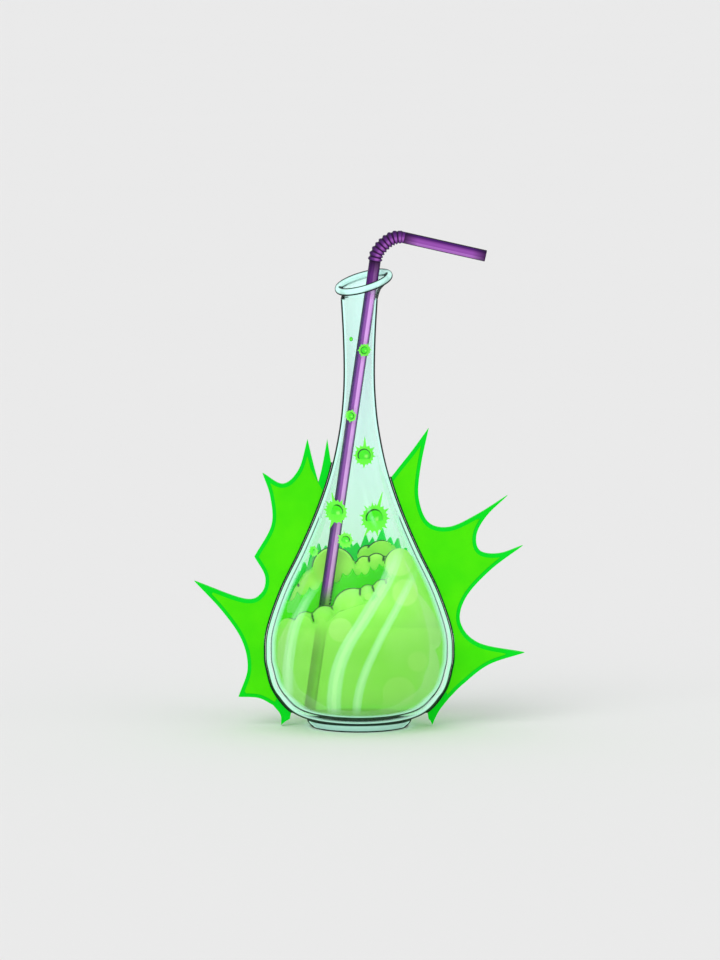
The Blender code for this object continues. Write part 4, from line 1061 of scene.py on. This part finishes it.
def make_bellows(look):
    """A folded skin in short lengths, each bending between two neighbouring folds."""
    s = sizes()
    hinges, headings = hinge_line()
    count = len(BEND_STEPS)
    last = hinges[-1] + 0.5 * s.fold_pitch * heading_vector(headings[-1])
    knots = hinges + [last]

    def frame_at(u):
        k = min(int(u), count)
        point = knots[k].lerp(knots[k] + s.fold_pitch * heading_vector(headings[k]), u - k)
        middle = np.arange(count + 1) + 0.5
        return point, float(np.interp(u, middle, headings))

    def swell_at(u):
        return (0.5 - 0.5 * math.cos(2 * math.pi * u)) ** 0.8 if u < count else 0.0

    def ring(u, inner):
        point, heading = frame_at(u)
        radius = s.straw_radius + (s.fold_radius - s.straw_radius - 0.02 * MM) * swell_at(u)
        room = (CAD_BOX[1][2] - 0.04 * MM - point.z) / max(math.sin(heading), 0.1)
        if inner:
            radius = s.straw_radius - s.straw_wall
        return straw_place(point, heading), min(radius, room)

    cuts = [0.0] + [k + 0.5 for k in range(count)] + [count + 0.5]
    for k, (low, high) in enumerate(zip(cuts, cuts[1:])):
        steps = max(int((high - low) * 14), 4)
        shares = [low + (high - low) * i / steps for i in range(steps + 1)]
        rings = [ring(u, False) for u in shares] + [ring(u, True) for u in reversed(shares)]
        cage = bridged(rings, STRAW_SEGMENTS, True)
        nodes = [f"straw_pleat_{k + 1}"] if k < count else []
        obj = finished(f"bellows_{k + 1}", cage, [look], "pleat_1" if k == 0 else None,
                       nodes, sharp=60.0)
        if k:
            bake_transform(obj)
        frames = [frame_at(u) for u in shares]
        store_band(obj, frames)
        at = positions(obj)
        starts = np.array([tuple(p) for p, _ in frames])
        ways = np.array([tuple(heading_vector(h)) for _, h in frames])
        level = np.argmin(np.abs(np.einsum("ijk,jk->ij", at[:, None, :] - starts[None], ways)), axis=1)
        swell = np.array([swell_at(u) if u < count else 1.0 for u in shares])[level]
        # Painted shade in the valleys between folds.
        attribute(obj, "ink", np.clip((0.50 - swell) / 0.25, 0, 1) * 0.92)


def make_straw():
    s, c = sizes(), colours()
    hinges, headings = hinge_line()
    end = Vector(STRAW_END) * MM
    # Painted light and shade across the lower tube: dark edges, a shaded left side, a lit pink right
    # side.
    lower_look = straw_finish("purple_plastic_look", (
        (0.08, (0.003, 0.0, 0.006)), (0.93, (0.004, 0.0, 0.008)), (0.10, (0.05, 0.004, 0.11)),
        (0.24, (0.075, 0.008, 0.16)), (0.31, (0.25, 0.05, 0.36)), (0.50, (0.29, 0.065, 0.40)),
        (0.56, c.straw_lit_side), (0.80, c.straw_lit_side), (0.86, c.straw_mid), (0.91, c.straw_mid)), True)
    # Painted light and shade across the arm: dark edges, a shaded top, a purple middle and a lighter band
    # below.
    arm_look = straw_finish("straw_arm_look", (
        (0.07, (0.003, 0.0, 0.006)), (0.945, (0.004, 0.0, 0.008)), (0.09, c.straw_shade_and_mottle),
        (0.20, (0.06, 0.008, 0.12)), (0.27, (0.15, 0.03, 0.22)), (0.45, c.straw_mid),
        (0.66, c.straw_mid), (0.70, (0.46, 0.16, 0.60)), (0.90, (0.44, 0.15, 0.57)),
        (0.935, (0.10, 0.02, 0.14))), False)
    # Painted light and shade across the bellows: darker at its edges, lightest right of its middle.
    fold_look = straw_finish("purple_bellows_look", (
        (0.0, (0.03, 0.004, 0.06)), (1.0, (0.05, 0.01, 0.09)), (0.15, (0.07, 0.012, 0.13)),
        (0.38, (0.15, 0.032, 0.23)), (0.52, (0.31, 0.085, 0.42)), (0.66, (0.37, 0.11, 0.48)),
        (0.86, (0.20, 0.05, 0.29))), False)
    make_tube("straw_tube", end, s.straw_lean, 0.0, (hinges[0] - end).length, lower_look, "straw",
              ["straw_lower_tube"])
    make_tube("straw_bent_arm", hinges[-1], headings[-1], 0.5 * s.fold_pitch,
              0.5 * s.fold_pitch + s.arm_length, arm_look, "arm", ["straw_arm"])
    make_bellows(fold_look)


# ================================================================ splash wings
LEFT_SCALLOPS = (
    ((-14.4, 130.1), (-16.6, 118.0), (-18.4, 110.6)),
    ((-18.4, 110.6), (-20.4, 118.0), (-23.3, 130.1)),
    ((-23.3, 130.1), (-27.2, 116.5), (-34.3, 109.9), (-43.5, 114.8)),
    ((-43.5, 114.8), (-40.0, 104.0), (-39.6, 91.0), (-47.2, 77.0)),
    ((-47.2, 77.0), (-42.4, 68.0), (-44.2, 60.3), (-52.0, 57.8), (-74.3, 65.9)),
    ((-74.3, 65.9), (-61.5, 52.0), (-52.9, 39.0), (-50.4, 26.0), (-54.5, 13.3)),
    ((-54.5, 13.3), (-45.5, 12.8), (-39.0, 9.6)),
    ((-39.0, 9.6), (-35.6, 5.2), (-35.3, 0.4)),
    ((-35.3, 0.4), (-33.2, 2.2), (-31.3, 3.2)),
)
RIGHT_SCALLOPS = (
    ((15.8, 114.6), (18.0, 117.5)),
    ((18.0, 117.5), (23.6, 124.6), (31.2, 135.1)),
    ((31.2, 135.1), (27.7, 118.1), (26.7, 104.0), (31.0, 92.6), (40.5, 90.3), (53.0, 96.0),
     (66.7, 104.7)),
    ((66.7, 104.7), (57.4, 95.6), (52.8, 87.0), (54.4, 79.6), (63.0, 78.4), (73.6, 82.0)),
    ((73.6, 82.0), (59.0, 70.9), (48.0, 58.4), (45.7, 46.9), (54.0, 37.6), (74.5, 33.4)),
    ((74.5, 33.4), (58.5, 28.0), (47.0, 19.2), (40.6, 12.8)),
    ((40.6, 12.8), (36.0, 6.8), (32.9, 0.4)),
    ((32.9, 0.4), (32.3, 2.2), (31.3, 3.2)),
)
WINGS = (("left", -1, LEFT_SCALLOPS, (1, 7, 12.5, 107.0), 119.5),
         ("right", 1, RIGHT_SCALLOPS, (1, 6, 15.5, 111.0), 113.0))


def scallop_run(scallops, steps=8):
    run = []
    for scallop in scallops:
        run += catmull(metres(scallop), steps)[:-1]
    return run + metres(scallops[-1][-1:])


def bulb_edge(distance, low, high, side):
    run = offset_run(outer_run(), [distance] * len(outer_run()))
    inside = [p for p in run if low + 1e-5 < p[1] < high - 1e-5]
    ends = [(float(run_radius(run, z)), z) for z in (low, high)]
    return [(side * r, z) for r, z in [ends[0]] + inside + [ends[1]]]


def nearest_distance(point, a, b):
    dx, dz = b[0] - a[0], b[1] - a[1]
    share = ((point[0] - a[0]) * dx + (point[1] - a[1]) * dz) / max(dx * dx + dz * dz, 1e-18)
    share = min(max(share, 0.0), 1.0)
    return math.hypot(point[0] - a[0] - share * dx, point[1] - a[1] - share * dz)


def inset_outline(outline, distances):
    """An outline moved inwards, each edge by its own distance, without the points that fold."""
    signed = sum(a[0] * b[1] - b[0] * a[1] for a, b in zip(outline, outline[1:] + outline[:1]))
    if signed < 0:
        outline, distances = outline[::-1], distances[-2::-1] + distances[-1:]
    edges = list(zip(outline, outline[1:] + outline[:1], distances))
    kept = []
    for i, corner in enumerate(outline):
        n0, n1 = (tuple(-c for c in unit_normal(*edges[k][:2])) for k in (i - 1, i))
        d0, d1 = edges[i - 1][2], edges[i][2]
        cross = n0[0] * n1[1] - n0[1] * n1[0]
        if abs(cross) < 1e-4:
            point = (corner[0] + n1[0] * d1, corner[1] + n1[1] * d1)
        else:
            point = (corner[0] + (d0 * n1[1] - d1 * n0[1]) / cross,
                     corner[1] + (d1 * n0[0] - d0 * n1[0]) / cross)
        crossings = sum((a[1] > point[1]) != (b[1] > point[1])
                        and a[0] + (point[1] - a[1]) * (b[0] - a[0]) / (b[1] - a[1]) > point[0]
                        for a, b, _ in edges)
        if crossings % 2 and all(nearest_distance(point, a, b) > d - 1e-6 for a, b, d in edges):
            kept.append(point)
    return kept


def make_wings():
    s, c = sizes(), colours()
    border = gloss_finish("emerald_border_look", c.border, (0.0, 0.70, 0.01), 0.45, 180.0)
    face = gloss_finish("lime_inlay_look", c.face, (0.085, 0.82, 0.0), 0.32, 160.0)
    black = gloss_finish("black_seal_look", c.seal, (0.015, 0.03, 0.02), 0.45, 300.0, depth=0.3)
    half = 0.5 * s.wing_thickness
    for name, side, scallops, (first, last, face_low, face_high), high_z in WINGS:
        outline = scallop_run(scallops) + bulb_edge(WING_INNER, WING_LOW_Z, high_z * MM, side)
        cage = plate(bmesh.new(), outline, -half, half)
        finished(f"wing_plate_{name}", cage, [border], "flask", [f"wing_{name}"],
                 sharp=30.0)
        outside = scallop_run(scallops[first:last])
        inside = bulb_edge(FACE_INNER, face_low * MM, face_high * MM, side)
        widths = [s.wing_border] * (len(outside) - 1) + [0.1 * MM] * (len(inside) + 1)
        pocket = inset_outline(outside + inside, widths)
        for facing, sign in (("front", -1), ("back", 1)):
            ends = sorted((sign * (half - INLAY_DEPTH), sign * (half + INLAY_DEPTH)))
            cage = plate(bmesh.new(), pocket, *ends)
            finished(f"wing_face_{name}_{facing}", cage, [face], "flask",
                     [f"inlay_{name}_{facing}"], sharp=30.0)
        near = bulb_edge(SEAL_INNER, WING_LOW_Z, high_z * MM, side)
        far = bulb_edge(SEAL_OUTER, WING_LOW_Z, high_z * MM, side)
        cage = plate(bmesh.new(), near + far[::-1], -half, half)
        finished(f"wing_seal_{name}", cage, [black], "flask", [f"seal_{name}"],
                 sharp=30.0)


# ================================================================ stage
def make_stage():
    c = colours()
    scene = bpy.context.scene
    scene.view_settings.view_transform = "Standard"
    f = Finish("pale_floor")
    tone = f.mix(f.times(f.noise(3.0, 2.0), 0.10), c.floor, (0.74, 0.74, 0.75))
    look = f.finish(f.principled(Base_Color=tone, Roughness=0.9))
    cage = bmesh.new()
    bmesh.ops.create_circle(cage, cap_ends=True, radius=40.0, segments=96)
    floor = linked("floor", mesh_from(cage, "floor"))
    floor.data.materials.append(look)
    world = bpy.data.worlds.new("soft_room")
    scene.world = world
    world.use_nodes = True
    world.node_tree.nodes["Background"].inputs["Color"].default_value = (1.0, 1.0, 1.0, 1.0)
    world.node_tree.nodes["Background"].inputs["Strength"].default_value = 0.74
    for name, turn, strength, width in (("key", (48, 0, -32), 1.15, 40), ("fill", (65, 0, 60), 0.35, 60)):
        lamp = bpy.data.lights.new(name, "SUN")
        lamp.energy = strength
        lamp.angle = math.radians(width)
        linked(name, lamp).rotation_euler = [math.radians(a) for a in turn]
    camera = linked("camera", bpy.data.cameras.new("camera"))
    away = Vector((0.0, -math.cos(SIGHT_RISE), math.sin(SIGHT_RISE)))
    camera.location = Vector(CAMERA_TARGET) + CAMERA_DISTANCE * away
    camera.rotation_euler = (math.radians(90) - SIGHT_RISE, 0.0, 0.0)
    camera.data.sensor_width = SENSOR_WIDTH
    camera.data.lens = SENSOR_WIDTH * CAMERA_DISTANCE / VIEW_SIZE
    camera.data.clip_start, camera.data.clip_end = 0.05, 200.0
    scene.camera = camera


# ================================================================ operators and panel
class FLASK_OT_glass(bpy.types.Operator):
    """Blow the glass: the flask, its foot and its rolled lip"""

    bl_idname = "flask.glass"
    bl_label = "Glass flask"

    def execute(self, context):
        make_flask()
        make_foot()
        make_lip()
        return {"FINISHED"}


class FLASK_OT_contents(bpy.types.Operator):
    """Fill the flask: potion, foam banks, a surge in painted shade and emerald splash"""

    bl_idname = "flask.contents"
    bl_label = "Potion and foam"

    def execute(self, context):
        make_contents()
        return {"FINISHED"}


class FLASK_OT_splats(bpy.types.Operator):
    """Put the splats and their beads on the inside of the glass"""

    bl_idname = "flask.splats"
    bl_label = "Splats"

    def execute(self, context):
        make_splats()
        return {"FINISHED"}


class FLASK_OT_straw(bpy.types.Operator):
    """Stand the straw in the flask, with its bellows and its bent arm"""

    bl_idname = "flask.straw"
    bl_label = "Bendy straw"

    def execute(self, context):
        make_straw()
        return {"FINISHED"}


class FLASK_OT_wings(bpy.types.Operator):
    """Bond a splash wing to each side of the bulb"""

    bl_idname = "flask.wings"
    bl_label = "Splash wings"

    def execute(self, context):
        make_wings()
        return {"FINISHED"}


class FLASK_OT_stage(bpy.types.Operator):
    """Set the pale floor, the soft light and the camera"""

    bl_idname = "flask.stage"
    bl_label = "Stage"

    def execute(self, context):
        make_stage()
        return {"FINISHED"}


class FLASK_PT_panel(bpy.types.Panel):
    """Lists the pieces, the sizes and the colours"""

    bl_idname = "FLASK_PT_panel"
    bl_label = "Potion Flask"
    bl_space_type = "VIEW_3D"
    bl_region_type = "UI"
    bl_category = "Potion Flask"

    def draw(self, context):
        column = self.layout.column(align=True)
        for made in OPERATORS:
            column.operator(made.bl_idname)
        for group in (context.scene.flask_sizes, context.scene.flask_colours):
            box = self.layout.box()
            for key in group.__annotations__:
                box.prop(group, key)


OPERATORS = (FLASK_OT_stage, FLASK_OT_glass, FLASK_OT_contents, FLASK_OT_splats, FLASK_OT_straw,
             FLASK_OT_wings)
CLASSES = (FlaskSizes, FlaskColours) + OPERATORS + (FLASK_PT_panel,)


def register():
    for made in CLASSES:
        bpy.utils.register_class(made)
    bpy.types.Scene.flask_sizes = bpy.props.PointerProperty(type=FlaskSizes)
    bpy.types.Scene.flask_colours = bpy.props.PointerProperty(type=FlaskColours)


def unregister():
    del bpy.types.Scene.flask_colours
    del bpy.types.Scene.flask_sizes
    for made in reversed(CLASSES):
        bpy.utils.unregister_class(made)


def main():
    register()
    bpy.ops.flask.stage()
    bpy.ops.flask.glass()
    bpy.ops.flask.contents()
    bpy.ops.flask.splats()
    bpy.ops.flask.straw()
    bpy.ops.flask.wings()


if __name__ == "__main__":
    main()
